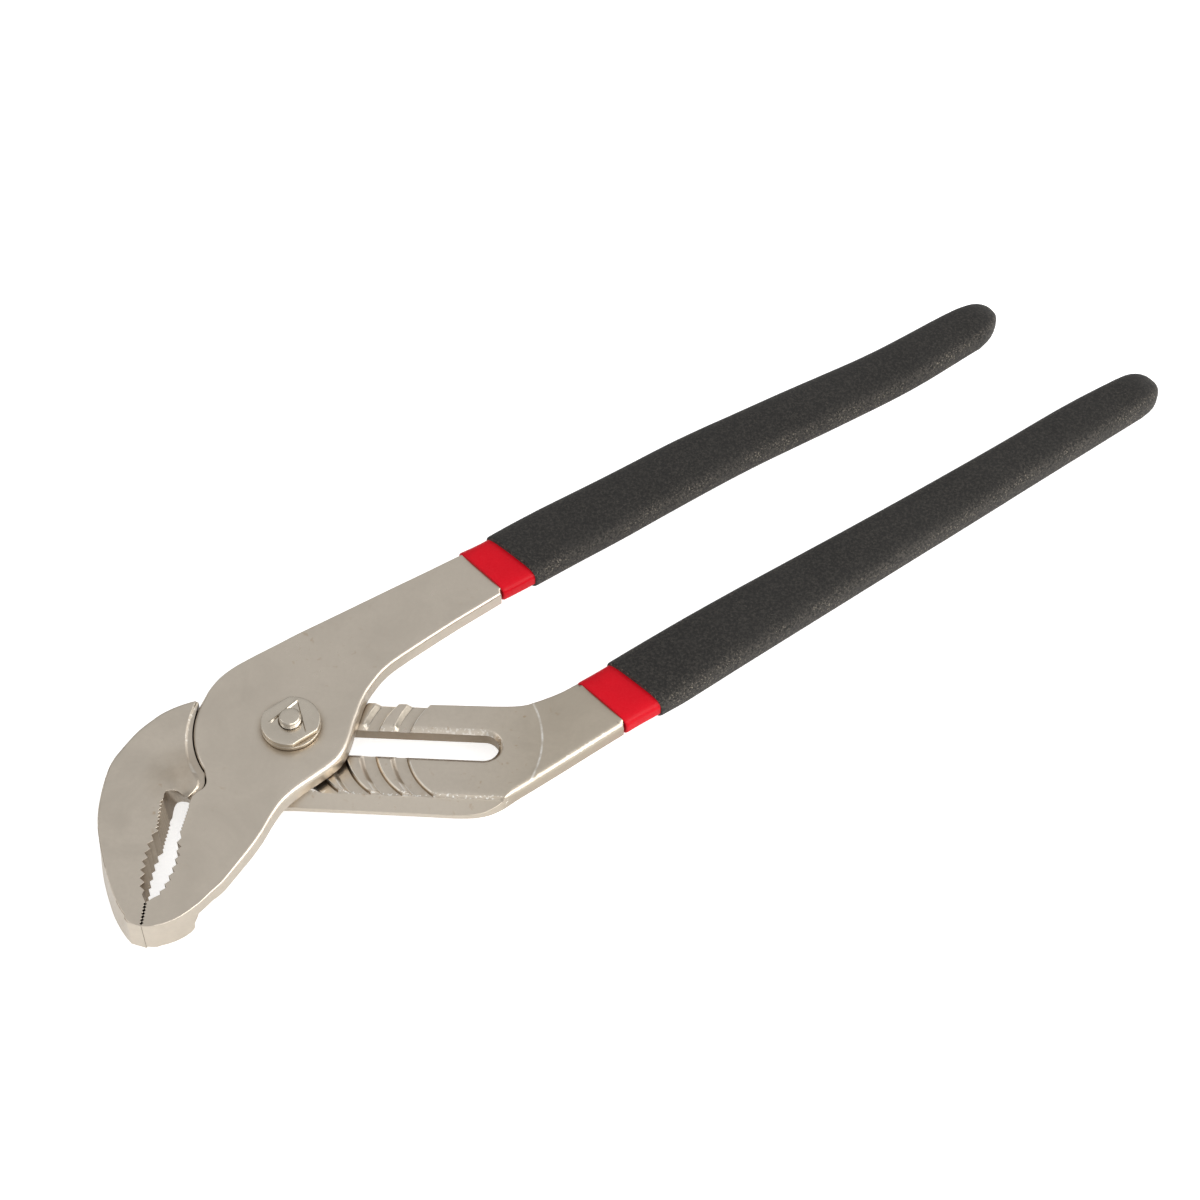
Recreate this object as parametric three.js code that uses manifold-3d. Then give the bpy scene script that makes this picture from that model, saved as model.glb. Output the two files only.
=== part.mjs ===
// Tongue and groove pliers, 300 mm class, as separate solids in millimetres, +Z up.
// Origin: on the pivot axis, in the outer flat face of the bolt head.
// +X runs along the slot, away from the jaws; the jaws reach towards -Y.
// The slotted half lies underneath, the tongued half on top, and the bolt passes up through both.
import * as THREE from 'three';
import { mergeVertices } from 'three/addons/utils/BufferGeometryUtils.js';
import Module from 'manifold-3d';

const wasm = await Module();
wasm.setup();

// ---------- levels (mm) ----------
const HEAD_T = 2.6;           // bolt head thickness, its outer face is z = 0
const Z_UNDER = 2.8;          // underside of the slotted half
const Z_PLANE = 7.7;          // sliding plane: top of the slotted shank
const Z_PLATE = 7.9;          // underside of the tongued half's boss plate
const Z_TOP = 12.2;           // top of both jaws and of the boss plate
const Z_TANG = 7.86;          // top of the slotted half's tang
const FUSE = 0.6;             // how far joined bodies run into each other
const OVERCUT = 1;            // how far cutters run past the faces they cut

// ---------- mesh to solid and back ----------
function solid(source) {
  let geometry = source.clone();
  geometry.deleteAttribute('normal');
  geometry.deleteAttribute('uv');
  geometry = mergeVertices(geometry, 1e-4);
  const mesh = new wasm.Mesh({
    numProp: 3,
    vertProperties: new Float32Array(geometry.attributes.position.array),
    triVerts: new Uint32Array(geometry.index.array),
  });
  mesh.merge();
  return new wasm.Manifold(mesh);
}

function geometryOf(manifold) {
  const mesh = manifold.getMesh();
  const positions = new Float32Array(mesh.numVert * 3);
  for (let i = 0; i < mesh.numVert; i++) {
    for (let k = 0; k < 3; k++) {
      positions[3 * i + k] = mesh.vertProperties[i * mesh.numProp + k];
    }
  }
  const geometry = new THREE.BufferGeometry();
  geometry.setAttribute('position', new THREE.BufferAttribute(positions, 3));
  geometry.setIndex(Array.from(mesh.triVerts));
  geometry.computeVertexNormals();
  return geometry;
}

// ---------- points in plan; angles in degrees, anticlockwise from +X ----------
const DEG = Math.PI / 180;
const polar = (radius, angle) => [radius * Math.cos(angle * DEG), radius * Math.sin(angle * DEG)];

function arc(radius, from, to, steps, [centreX, centreY] = [0, 0]) {
  return Array.from({ length: steps + 1 }, (_, i) => {
    const [x, y] = polar(radius, from + (to - from) * i / steps);
    return [centreX + x, centreY + y];
  });
}

// evenly spaced points on a smooth curve through the given ones
function smooth(points, step) {
  const vectors = points.map(([x, y]) => new THREE.Vector3(x, y, 0));
  const curve = new THREE.CatmullRomCurve3(vectors, false, 'centripetal');
  const count = Math.max(2, Math.round(curve.getLength() / step));
  return curve.getSpacedPoints(count).map(({ x, y }) => [x, y]);
}

// one closed outline from several runs of points, without the points they share
function outline(...runs) {
  const MIN_GAP = 0.05;
  const gap = (a, b) => Math.hypot(a[0] - b[0], a[1] - b[1]);
  const points = [];
  for (const point of runs.flat()) {
    if (!points.length || gap(point, points.at(-1)) > MIN_GAP) points.push(point);
  }
  if (gap(points[0], points.at(-1)) < MIN_GAP) points.pop();
  return points;
}

// ---------- basic solids ----------
function extrusion(points, options) {
  const shape = new THREE.Shape(points.map(([x, y]) => new THREE.Vector2(x, y)));
  return new THREE.ExtrudeGeometry(shape, { steps: 1, ...options });
}

function prism(points, z0, z1) {
  const geometry = extrusion(points, { depth: z1 - z0, bevelEnabled: false });
  return solid(geometry.translate(0, 0, z0));
}

// a slab with rounded edges, its widest outline being the one given
function pillow(points, z0, z1, radius, segments) {
  const geometry = extrusion(points, {
    depth: z1 - z0 - 2 * radius,
    bevelEnabled: true,
    bevelThickness: radius,
    bevelSize: radius,
    bevelOffset: -radius,
    bevelSegments: segments,
  });
  return solid(geometry.translate(0, 0, z0 + radius));
}

// a profile of [radius, z] turned about the Z axis
function revolve(profile, segments) {
  const points = profile.map(([radius, z]) => new THREE.Vector2(radius, z));
  const geometry = new THREE.LatheGeometry(points, segments);
  return solid(geometry.rotateX(Math.PI / 2));   // the lathe's own axis is Y
}

// ---------- handles ----------
// Handle points are [along, across]: along the handle from its origin, across it to the left.
// angle is the handle's direction; toe turns its centre line a little, beyond TOE_START.
const TOE_START = 4;
const TONGUED_HANDLE = {
  origin: [40.88, 48.91],
  angle: 34.8,
  toe: 1.05,
  midZ: (Z_PLATE + Z_TOP) / 2,
  tang: [
    [1.5, -7.0], [14, -5.8], [60, -3.5], [84, -2.9], [104, -3.2], [120, -3.3],
    [136, -2.4], [141, 2.0], [136, 4.8], [104, 6.1], [60, 7.4], [14, 7.1],
  ],
  // grip: [along, right edge, left edge]
  rows: [
    [6, -8.5, 9.1], [16, -8.1, 9.8], [24, -7.8, 10.1], [32, -7.6, 10.15], [40, -7.3, 10.2],
    [48, -6.8, 10.35], [56, -6.4, 10.6], [64, -6.0, 10.75], [72, -5.7, 10.6], [80, -5.55, 10.25],
    [88, -5.65, 9.95], [96, -5.8, 9.65], [104, -5.95, 9.25], [112, -6.0, 8.8], [120, -6.05, 8.4],
    [128, -5.9, 8.3], [136, -5.4, 8.55], [144, -4.6, 8.9], [150, -4.0, 9.1], [154, -3.6, 9.0],
  ],
  // rounded end of the grip
  end: [[158.6, -2.1], [161.9, 0.4], [163.4, 3.2], [162.6, 6.0], [159.6, 8.1]],
  // each covering starts at [left corner, right corner] along the handle
  sleeve: {
    start: [-1.4, 1.8],
    outer: { thickness: 6.5, radius: 2.4 },
    inner: { thickness: 4.6, radius: 0.4 },
  },
  grip: {
    start: [6.8, 11.0],
    outer: { thickness: 8.4, radius: 3.8 },
    inner: { thickness: 6.9, radius: 2.6 },
  },
};
const SLOTTED_HANDLE = {
  origin: [72.69, 14.09],
  angle: 38.76,
  toe: -1.05,
  midZ: (Z_UNDER + Z_TANG) / 2,
  tang: [
    [0.95, -7.4], [15, -6.6], [60, -4.4], [110, -2.4], [150, -0.4], [155, 3.2],
    [150, 6.8], [110, 7.0], [60, 7.2], [15, 7.0], [-1.3, 7.6],
  ],
  rows: [
    [5, -8.95, 9.15], [16, -9.15, 9.6], [24, -8.8, 9.85], [32, -8.4, 10.05], [40, -8.05, 10.1],
    [48, -7.7, 10.1], [56, -7.35, 10.0], [64, -7.0, 9.9], [72, -6.65, 9.8], [80, -6.3, 9.7],
    [88, -5.95, 9.65], [96, -5.6, 9.6], [104, -5.3, 9.6], [112, -4.95, 9.65], [120, -4.6, 9.7],
    [128, -4.2, 9.8], [136, -3.85, 9.95], [144, -3.5, 10.2], [152, -3.2, 10.4],
    [160, -2.85, 10.35], [168, -2.5, 10.05], [172, -2.3, 9.8],
  ],
  end: [[176.6, -1.5], [179.9, 0.9], [181.2, 3.8], [180.2, 7.0], [176.8, 9.2]],
  sleeve: {
    start: [-1.2, 1.1],
    outer: { thickness: 7.2, radius: 2.6 },
    inner: { thickness: 5.6, radius: 0.4 },
  },
  grip: {
    start: [7.9, 11.1],
    outer: { thickness: 9.0, radius: 4.0 },
    inner: { thickness: 7.6, radius: 2.8 },
  },
};

function handlePoint({ origin, angle, toe }, [along, across]) {
  const offset = across + Math.max(0, along - TOE_START) * Math.tan(toe * DEG);
  const [cos, sin] = polar(1, angle);
  return [origin[0] + along * cos - offset * sin, origin[1] + along * sin + offset * cos];
}

const tangOf = handle => handle.tang.map(point => handlePoint(handle, point));

// ---------- tongued half ----------
const BORE_R = 3.7;                          // bore in the boss
const TONGUE_R = [17.35, 19.9];              // inner and outer radius about the pivot
const TONGUE_ANGLES = [196, 222];
const TONGUE_D = 0.85;                       // reach below the sliding plane

// outline points [x, y], anticlockwise: -X side of tang and boss, teeth, nose, +X side
const TONGUED_LEFT = [
  [34.6, 53.8], [27.1, 48.4], [19.6, 43.1], [12.2, 37.8], [4.8, 32.5], [-2.5, 27.3],
  [-6.0, 24.6], [-9.6, 21.9], [-13.0, 19.3], [-16.3, 16.5], [-19.1, 13.2], [-21.1, 9.3],
  [-21.9, 6.5], [-22.3, 4.5], [-22.4, 1.6], [-22.3, -1.3], [-21.9, -3.9], [-21.1, -7.0],
  [-20.2, -9.7], [-19.1, -12.6], [-18.2, -15.0], [-17.8, -16.3], [-17.9, -17.6],
  [-18.6, -18.8], [-19.6, -19.8], [-20.5, -21.0], [-20.8, -23.2], [-21.4, -26.2], [-21.8, -30.6],
];
const TONGUED_GULLETS = [
  [-21.15, -32.4], [-20.8, -34.7], [-20.7, -37.0], [-20.9, -39.3],
  [-21.3, -41.5], [-21.8, -43.7], [-22.5, -45.8], [-23.5, -47.6],
];
const TONGUED_TIPS = [
  [-22.0, -33.6], [-21.75, -35.9], [-21.75, -38.2], [-22.05, -40.5],
  [-22.5, -42.7], [-23.1, -44.9], [-23.9, -46.9], [-24.9, -48.5],
];
const TONGUED_NOSE = [[-26.45, -49.9], [-26.45, -56.1]];
const TONGUED_RIGHT = [
  [-26.45, -56.1], [-24.6, -56.1], [-22.4, -55.5], [-20.2, -54.5], [-18.0, -53.0],
  [-16.1, -51.2], [-14.1, -49.0], [-12.2, -46.4], [-10.1, -43.7], [-8.5, -40.9], [-6.7, -37.6],
  [-5.5, -35.4], [-4.1, -32.6], [-2.7, -29.3], [-1.7, -26.4], [-0.6, -23.7], [0.5, -21.4],
  [2.3, -18.9], [4.4, -16.6], [6.5, -14.6], [8.6, -12.6], [10.7, -10.5], [12.6, -8.0],
  [13.8, -4.9], [14.5, -1.4], [14.9, 2.0], [15.4, 5.0], [16.0, 8.5], [16.8, 11.4],
  [18.0, 14.1], [19.6, 17.1], [21.6, 19.8], [23.8, 22.1], [28.2, 26.3], [32.7, 30.5],
  [37.2, 34.6], [41.8, 38.6], [46.4, 42.6],
];
// the jaw is full thickness between its teeth and this edge, which runs up from the tip
const BLOCK_EDGE = [
  [-16.6, -51.7], [-15.9, -49.6], [-15.4, -47.0], [-15.3, -44.0],
  [-15.7, -40.0], [-16.7, -36.2], [-18.5, -32.6], [-21.6, -29.8],
];
const BLOCK_CORNER = [-21.8, -30.2];         // upper corner of the block, beside the teeth
const BLOCK_NOSE_POINTS = 5;                 // points the block shares with TONGUED_RIGHT
const SIDE_STEP = 2.4;                       // point spacing along the sides of both halves
const BLOCK_STEP = 2.2;

const tonguedTeeth = TONGUED_GULLETS.flatMap((gullet, i) => [gullet, TONGUED_TIPS[i]]);

function jawBlock() {
  const nose = [...TONGUED_RIGHT.slice(0, BLOCK_NOSE_POINTS), BLOCK_EDGE[0]];
  const points = outline(
    [BLOCK_CORNER], tonguedTeeth, TONGUED_NOSE,
    smooth(nose, BLOCK_STEP), smooth(BLOCK_EDGE, BLOCK_STEP).slice(1, -1),
  );
  return prism(points, Z_UNDER, Z_PLATE + FUSE);
}

function tongue() {
  const [inner, outer] = TONGUE_R;
  const [first, last] = TONGUE_ANGLES;
  const points = [...arc(outer, first, last, 10), ...arc(inner, last, first, 10)];
  return prism(points, Z_PLANE - TONGUE_D, Z_PLATE + FUSE);
}

function tonguedHalf() {
  const points = outline(
    smooth(TONGUED_LEFT, SIDE_STEP), tonguedTeeth, TONGUED_NOSE,
    smooth(TONGUED_RIGHT, SIDE_STEP), tangOf(TONGUED_HANDLE),
  );
  const z0 = Z_PLATE - OVERCUT;
  const z1 = Z_TOP + OVERCUT;
  const bore = revolve([[0, z0], [BORE_R, z0], [BORE_R, z1], [0, z1]], 48);
  return prism(points, Z_PLATE, Z_TOP).add(jawBlock()).add(tongue()).subtract(bore);
}

// ---------- slotted half ----------
const PITCH = 7.4;            // distance between adjustment grooves
const POSITIONS = 7;          // number of grooves
const GROOVE_R = 17.1;        // radius of each groove's steep wall about its bolt position
const GROOVE_FLOOR = 3.15;    // floor width
const GROOVE_RAMP = 1.2;      // width of the sloped far side
const GROOVE_D = 1.05;        // depth
const SLOT_HW = 3.65;         // slot half width
const SLOT_X0 = -0.3;         // centre of the slot's jaw end
const SLOT_X1 = 45.3;         // centre of the slot's handle end
const SLOT_CH = 1.3;          // chamfer on the slot's upper edge
const SLOT_CH_LOW = 0.8;      // chamfer on the slot's lower edge
const BEVEL_Y = -14.0;        // the -Y rail falls away below this line, to let the tongue out
const BEVEL_END_Y = -26;
const BEVEL_SLOPE = 2.2 / 3.85;              // drop over run
const BEVEL_X0 = -16.5;
const BEVEL_LENGTH = 66;
const RECESS_R = 24.6;        // shoulder in the jaw, about the pivot
const RECESS_GROWTH = 1.25;   // added to that radius between the next two angles
const RECESS_GROWTH_ANGLES = [196, 219];

// outline points [x, y], anticlockwise: +Y side and jaw back, nose, teeth, throat, -Y side
const SLOTTED_BACK = [
  [66.5, 19.4], [62.4, 16.4], [57.8, 13.9], [55.5, 12.9], [53.1, 12.2], [48.3, 11.8],
  [38.7, 11.6], [30.8, 11.4], [16.2, 11.2], [6, 11.0], [-4, 10.6], [-12, 9.8], [-18, 8.4],
  [-22.2, 6.9], [-25.5, 5.7], [-28.7, 4.1], [-31.5, 2.1], [-33.8, -0.3], [-35.9, -2.8],
  [-37.7, -5.7], [-39.3, -8.7], [-40.7, -11.8], [-41.4, -15.7], [-41.7, -19.8],
  [-41.7, -24.3], [-41.4, -29.1], [-40.6, -33.9], [-39.4, -38.4], [-38.0, -42.3],
  [-36.7, -45.4], [-35.2, -48.6], [-33.4, -51.7], [-31.5, -54.2], [-30.0, -55.8],
];
const SLOTTED_NOSE = [[-26.75, -56.2], [-26.75, -49.9]];
const SLOTTED_TEETH = [
  [-27.7, -47.9], [-27.4, -46.7], [-28.6, -45.7], [-27.7, -44.6], [-28.9, -43.6],
  [-27.95, -42.4], [-29.15, -41.4], [-28.05, -40.3], [-29.15, -39.1], [-27.95, -38.0],
  [-28.95, -36.8], [-27.8, -35.7], [-28.7, -34.4], [-27.4, -33.3], [-28.1, -32.0], [-26.8, -30.8],
];
const SLOTTED_THROAT = [
  [-26.8, -30.8], [-27.0, -22.0], [-26.75, -19.7], [-24.2, -19.3], [-21.3, -21.3],
];
const SLOTTED_FRONT = [
  [-21.3, -21.3], [-16, -20.6], [-10, -19.3], [-4, -18.3], [1, -17.9], [10, -17.85],
  [30, -17.9], [41, -17.95], [44.8, -17.6], [47.5, -16.9], [49.8, -15.7], [51.4, -14.6],
  [54.8, -11.8], [58.1, -9.1], [64.7, -3.6], [71.4, 2.1], [78.2, 7.8],
];
const slottedBack = smooth(SLOTTED_BACK, SIDE_STEP);
const slottedFront = smooth(SLOTTED_FRONT, SIDE_STEP);
const slottedTang = tangOf(SLOTTED_HANDLE);

// the jaw above the sliding plane, outside the recess
function upperJaw() {
  const [first, last] = RECESS_GROWTH_ANGLES;
  const recess = [];
  for (let angle = last; angle >= 165.5; angle -= 4.1) {
    const growth = Math.max(0, (angle - first) / (last - first)) * RECESS_GROWTH;
    recess.push(polar(RECESS_R + growth, angle));
  }
  recess.push(polar(RECESS_R, 164.9));
  const points = outline(
    slottedBack.filter(([x]) => x < -23), SLOTTED_NOSE, SLOTTED_TEETH, SLOTTED_THROAT,
    [[-21.25, -20.4], [-20.7, -18.2]], recess,
  );
  return prism(points, Z_PLANE - FUSE, Z_TOP);
}

// the tang stands a little above the sliding plane, past an arc that clears the boss
function tangPad() {
  const points = outline(
    [[57.0, 13.3]], arc(25.8, 24, -18, 7, [33.4, 0.9]), [[58.2, -8.8]],
    slottedFront.filter(([x]) => x > 60), slottedTang, slottedBack.filter(([x]) => x > 58.5),
  );
  return prism(points, Z_PLANE - FUSE, Z_TANG);
}

// wedge that bevels the -Y rail
function bevelCutter() {
  const top = Z_PLANE + 1.2;
  const section = [   // [y, z]
    [BEVEL_Y, Z_PLANE], [BEVEL_Y + 0.6, Z_PLANE + 0.3], [BEVEL_Y, top], [BEVEL_END_Y, top],
    [BEVEL_END_Y, Z_PLANE + (BEVEL_END_Y - BEVEL_Y) * BEVEL_SLOPE],
  ];
  const geometry = extrusion(section, { depth: BEVEL_LENGTH, bevelEnabled: false });
  // section x to Y, section y to Z, depth to X
  const axes = [[0, 1, 0], [0, 0, 1], [1, 0, 0]].map(axis => new THREE.Vector3(...axis));
  geometry.applyMatrix4(new THREE.Matrix4().makeBasis(...axes));
  return solid(geometry.translate(BEVEL_X0, 0, 0));
}

// groove cutter for the first bolt position: the jaw side of a ring
function grooveCutter() {
  const floor = Z_PLANE - GROOVE_D;
  const top = Z_PLANE + OVERCUT;
  const floorEnd = GROOVE_R + GROOVE_FLOOR;
  const rampEnd = floorEnd + GROOVE_RAMP;
  const ring = revolve([
    [GROOVE_R, floor], [floorEnd, floor], [rampEnd, Z_PLANE], [rampEnd + 0.3, Z_PLANE + 0.2],
    [rampEnd + 0.3, top], [GROOVE_R, top], [GROOVE_R, floor],
  ], 96);
  const jawSide = [[-60, -40], [-6, -40], [-6, 40], [-60, 40]];
  return ring.intersect(prism(jawSide, Z_PLANE - 3, Z_PLANE + 3));
}

function slotOutline(halfWidth) {
  return [
    ...arc(halfWidth, -90, 90, 12, [SLOT_X1, 0]),
    ...arc(halfWidth, 90, 270, 12, [SLOT_X0, 0]),
  ];
}

// chamfer cutter for the slot's edges: its straight middle, CHAMFER_DEPTH high, starts at z0
const CHAMFER_DEPTH = 1.2;
function slotChamfer(z0, size) {
  const geometry = extrusion(slotOutline(SLOT_HW - 0.02), {
    depth: CHAMFER_DEPTH,
    bevelEnabled: true,
    bevelThickness: size,
    bevelSize: size,
    bevelSegments: 1,
  });
  return solid(geometry.translate(0, 0, z0));
}

function slottedHalf() {
  const points = outline(
    slottedBack, SLOTTED_NOSE, SLOTTED_TEETH, SLOTTED_THROAT, slottedFront, slottedTang,
  );
  let half = prism(points, Z_UNDER, Z_PLANE).add(upperJaw()).add(tangPad());
  half = half.subtract(bevelCutter());
  const groove = grooveCutter();
  for (let i = 0; i < POSITIONS; i++) half = half.subtract(groove.translate([i * PITCH, 0, 0]));
  return half
    .subtract(prism(slotOutline(SLOT_HW), Z_UNDER - OVERCUT, Z_PLANE + OVERCUT))
    .subtract(slotChamfer(Z_PLANE, SLOT_CH))
    .subtract(slotChamfer(Z_UNDER - CHAMFER_DEPTH, SLOT_CH_LOW));
}

// ---------- bolt ----------
const HEAD_R = 6.3;
const SHOULDER_R = 3.4;       // bolt shoulder in the boss
const NECK_HW = 3.35;         // half width of the flat-sided neck in the slot
const NECK_R = 3.7;           // radius of the neck's round ends
const STUD_R = 2.45;          // threaded end
const STUD_TOP = 16.6;

function pivotBolt() {
  const head = revolve([
    [0, 0], [HEAD_R - 0.6, 0], [HEAD_R, 0.5], [HEAD_R, HEAD_T - 0.4], [HEAD_R - 0.4, HEAD_T],
    [0, HEAD_T],
  ], 48);
  const limit = Math.asin(NECK_HW / NECK_R) / DEG;
  const neckPoints = [
    ...arc(NECK_R, -limit, limit, 8),
    ...arc(NECK_R, 180 - limit, 180 + limit, 8),
  ];
  const neck = prism(neckPoints, HEAD_T - FUSE, Z_PLANE - 0.1);
  const z0 = Z_PLANE - 0.8;
  const z1 = Z_TOP - 0.2;
  const shoulder = revolve([[0, z0], [SHOULDER_R, z0], [SHOULDER_R, z1], [0, z1]], 40);
  const stud = revolve([
    [0, Z_TOP - FUSE], [STUD_R, Z_TOP - FUSE], [STUD_R, STUD_TOP - 0.7],
    [STUD_R - 0.5, STUD_TOP - 0.2], [STUD_R - 1.3, STUD_TOP], [0, STUD_TOP],
  ], 40);
  return head.add(neck).add(shoulder).add(stud);
}

// ---------- nut ----------
const NUT_BORE_R = 2.75;
const NUT_R = 7.08;
const NUT_H = 2.5;
const NUT_GAP = 0.05;         // above the boss plate
const NUT_FLAT = 6.1;         // half distance across the partial wrench flats
const NUT_FLAT_H = 1.3;       // how far the flats reach down from the top
const NUT_FLAT_ANGLE = -49;   // direction of one flat

function pivotNut() {
  const z0 = Z_TOP + NUT_GAP;
  const z1 = z0 + NUT_H;
  let nut = revolve([
    [NUT_BORE_R, z0], [NUT_R, z0], [NUT_R, z1 - 0.4], [NUT_R - 0.35, z1], [NUT_BORE_R, z1],
    [NUT_BORE_R, z0],
  ], 64);
  const size = 4;             // flat cutter, in the radial direction and in Z
  for (const angle of [NUT_FLAT_ANGLE, NUT_FLAT_ANGLE + 180]) {
    const cutter = new THREE.BoxGeometry(size, 20, size);
    cutter.translate(NUT_FLAT + size / 2, 0, z1 - NUT_FLAT_H + size / 2);
    cutter.rotateZ(angle * DEG);
    nut = nut.subtract(solid(cutter));
  }
  return nut;
}

// ---------- handle coverings ----------
// rows carried on past the collar, so that a body can start beyond its cut edge
const fullRows = ([first, ...rest]) => [[-18, first[1] - 0.3, first[2] + 0.5], first, ...rest];
// rows of the under-sleeve: as wide as the grip at the collar, narrower once inside the grip
const underRows = rows => fullRows(rows).map(([along, right, left]) => {
  const narrowing = THREE.MathUtils.smoothstep(along, 9, 18) * 0.95;
  return [along, right + narrowing, left - narrowing];
});

// inset is taken off both sides, tail off the rounded end; segments round the edges
const FITS = {
  sleeve: {
    outer: { rowsOf: underRows, inset: 0.45, tail: 2.4, segments: 3 },
    inner: { rowsOf: underRows, inset: 1.15, tail: 4.6, segments: 3 },
  },
  grip: {
    outer: { rowsOf: fullRows, inset: 0, tail: 0, segments: 4 },
    inner: { rowsOf: underRows, inset: 0.22, tail: 1.4, segments: 3 },
  },
};
const END_STEP = 3.2;         // point spacing round the end

// a row's edge (column 1 or 2) at any distance along
function edgeAt(rows, along, column) {
  const next = rows.findIndex(row => along <= row[0]);
  const [a, b] = [rows[next - 1], rows[next]];
  return THREE.MathUtils.lerp(a[column], b[column], (along - a[0]) / (b[0] - a[0]));
}

function coverOutline(handle, { rowsOf, inset, tail }, [startLeft, startRight]) {
  const rows = rowsOf(handle.rows);
  const side = (column, offset, start) => [
    [start, edgeAt(rows, start, column) + offset],
    ...rows.filter(row => row[0] > start + 1).map(row => [row[0], row[column] + offset]),
  ];
  const right = side(1, inset, startRight);
  const left = side(2, -inset, startLeft);
  const [lastAlong, lastRight, lastLeft] = rows.at(-1);
  const middle = (lastRight + lastLeft) / 2;
  const cap = handle.end.map(([along, across]) => {
    const scale = 1 - tail / Math.hypot(along - lastAlong, across - middle);
    return [lastAlong + (along - lastAlong) * scale, middle + (across - middle) * scale];
  });
  const round = smooth([right.at(-1), ...cap, left.at(-1)], END_STEP);
  const points = [...right.slice(0, -1), ...round, ...left.slice(0, -1).reverse()];
  // a hair of waviness keeps straight runs from being exactly collinear
  return points.map(([along, across]) => (
    handlePoint(handle, [along, across + 0.012 * Math.cos(along * 0.9)])
  ));
}

// a closed-ended sock: a rounded body less the space for what is inside it, open at the collar
function covering(handle, layer) {
  const { start, outer, inner } = handle[layer];
  const body = (fit, { thickness, radius }, lead) => {
    const points = coverOutline(handle, fit, start.map(along => along - lead));
    const [z0, z1] = [handle.midZ - thickness / 2, handle.midZ + thickness / 2];
    return pillow(points, z0, z1, radius, fit.segments);
  };
  // the collar's edge is cut on a slant
  const [left, right] = start;
  const slant = (left - right) * 0.45;
  const cut = [
    [left + slant, 17], [left - 26, 17], [right - 26, -17], [right - slant, -17],
  ].map(point => handlePoint(handle, point));
  return body(FITS[layer].outer, outer, 11)
    .subtract(body(FITS[layer].inner, inner, 14))
    .subtract(prism(cut, handle.midZ - 12, handle.midZ + 12));
}

// ---------- materials ----------
const material = options => new THREE.MeshStandardMaterial(options);
const steel = options => material({ ...options, metalness: 1 });
const red = () => material({ color: 0xce1426, roughness: 0.35, metalness: 0 });
const black = () => material({ color: 0x2b2a29, roughness: 0.9, metalness: 0 });

// ---------- scene graph ----------
function named(name, manifold, surface) {
  const mesh = new THREE.Mesh(geometryOf(manifold), surface);
  mesh.name = name;
  return mesh;
}

const slottedSide = new THREE.Group().add(
  named('slotted_half', slottedHalf(), steel({ color: 0xb6aea2, roughness: 0.42 })),
  named('slotted_handle_sleeve', covering(SLOTTED_HANDLE, 'sleeve'), red()),
  named('slotted_handle_grip', covering(SLOTTED_HANDLE, 'grip'), black()),
);
const pivot = new THREE.Group().add(
  named('pivot_bolt', pivotBolt(), steel({ color: 0xaaa294, roughness: 0.4 })),
  named('pivot_nut', pivotNut(), steel({ color: 0xb0a79a, roughness: 0.36 })),
);
const tonguedSide = new THREE.Group().add(
  named('tongued_half', tonguedHalf(), steel({ color: 0xada497, roughness: 0.42 })),
  named('tongued_handle_sleeve', covering(TONGUED_HANDLE, 'sleeve'), red()),
  named('tongued_handle_grip', covering(TONGUED_HANDLE, 'grip'), black()),
);
const pliers = new THREE.Group().add(slottedSide, pivot, tonguedSide);

export default pliers;
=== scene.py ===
"""Tongue and groove pliers, lying flat over a floor at Z = 0.

The pivot's axis is Z, through the origin. The jaws point to -Y and the handles to +X +Y. The
tongued half lies on top of the slotted one, whose slot runs along X. "Far" names an edge on the
+Y or -X side, "near" one on the -Y or +X side. Outlines and heights are in millimetres, scaled
to the frame's metres when a mesh is made. Materials, lights and the camera are in metres.
"""
import math
from types import SimpleNamespace

import bmesh
import bpy
import numpy as np
from mathutils import Matrix, Vector
from mathutils.geometry import delaunay_2d_cdt


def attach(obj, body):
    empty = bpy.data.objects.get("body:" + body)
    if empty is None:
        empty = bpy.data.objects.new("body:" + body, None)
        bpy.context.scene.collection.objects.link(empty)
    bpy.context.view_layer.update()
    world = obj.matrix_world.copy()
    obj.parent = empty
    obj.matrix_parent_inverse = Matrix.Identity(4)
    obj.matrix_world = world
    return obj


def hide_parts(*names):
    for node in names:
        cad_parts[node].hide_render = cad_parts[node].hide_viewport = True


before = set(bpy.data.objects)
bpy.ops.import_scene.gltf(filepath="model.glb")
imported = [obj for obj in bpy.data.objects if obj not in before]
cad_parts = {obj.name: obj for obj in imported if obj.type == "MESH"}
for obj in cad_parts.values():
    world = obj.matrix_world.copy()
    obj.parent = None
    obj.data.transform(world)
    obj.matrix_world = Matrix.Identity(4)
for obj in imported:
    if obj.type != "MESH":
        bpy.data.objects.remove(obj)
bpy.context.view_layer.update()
MM = 0.001
DEG = math.pi / 180

# ------------------------------------------------------------------ sizes (mm)
Z_UNDER = 2.8               # underside of the slotted half and of both jaws
Z_PLANE = 7.7               # the slotted half's sliding plane
Z_PLATE = 7.9               # underside of the tongued half's plate
Z_TOP = 12.2                # top of both jaws
Z_SLOTTED_TANG = 7.86       # top of the slotted half's tang
PITCH, POSITIONS = 7.4, 7   # grooves, and pivot positions along the slot
GROOVE_RADIUS, GROOVE_FLOOR, GROOVE_RAMP = 17.1, 3.15, 1.2
SLOT_HALF, SLOT_X0, SLOT_X1 = 3.65, -0.3, 45.3      # half width, and the end arcs' centres
SLOT_LOW_CHAMFER = 0.8
BEVEL_Y = -14.0             # bevel along the near rail
RUNOUT_CENTRE, RUNOUT_RADIUS = (33.4, 0.9), 25.8    # arc where the shank runs into the tang
NECK_RADIUS = 3.7           # the bolt's neck, and the bore over it
NUT_BORE = 2.68
MERGE = 2e-4                # vertices closer than this become one

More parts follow.
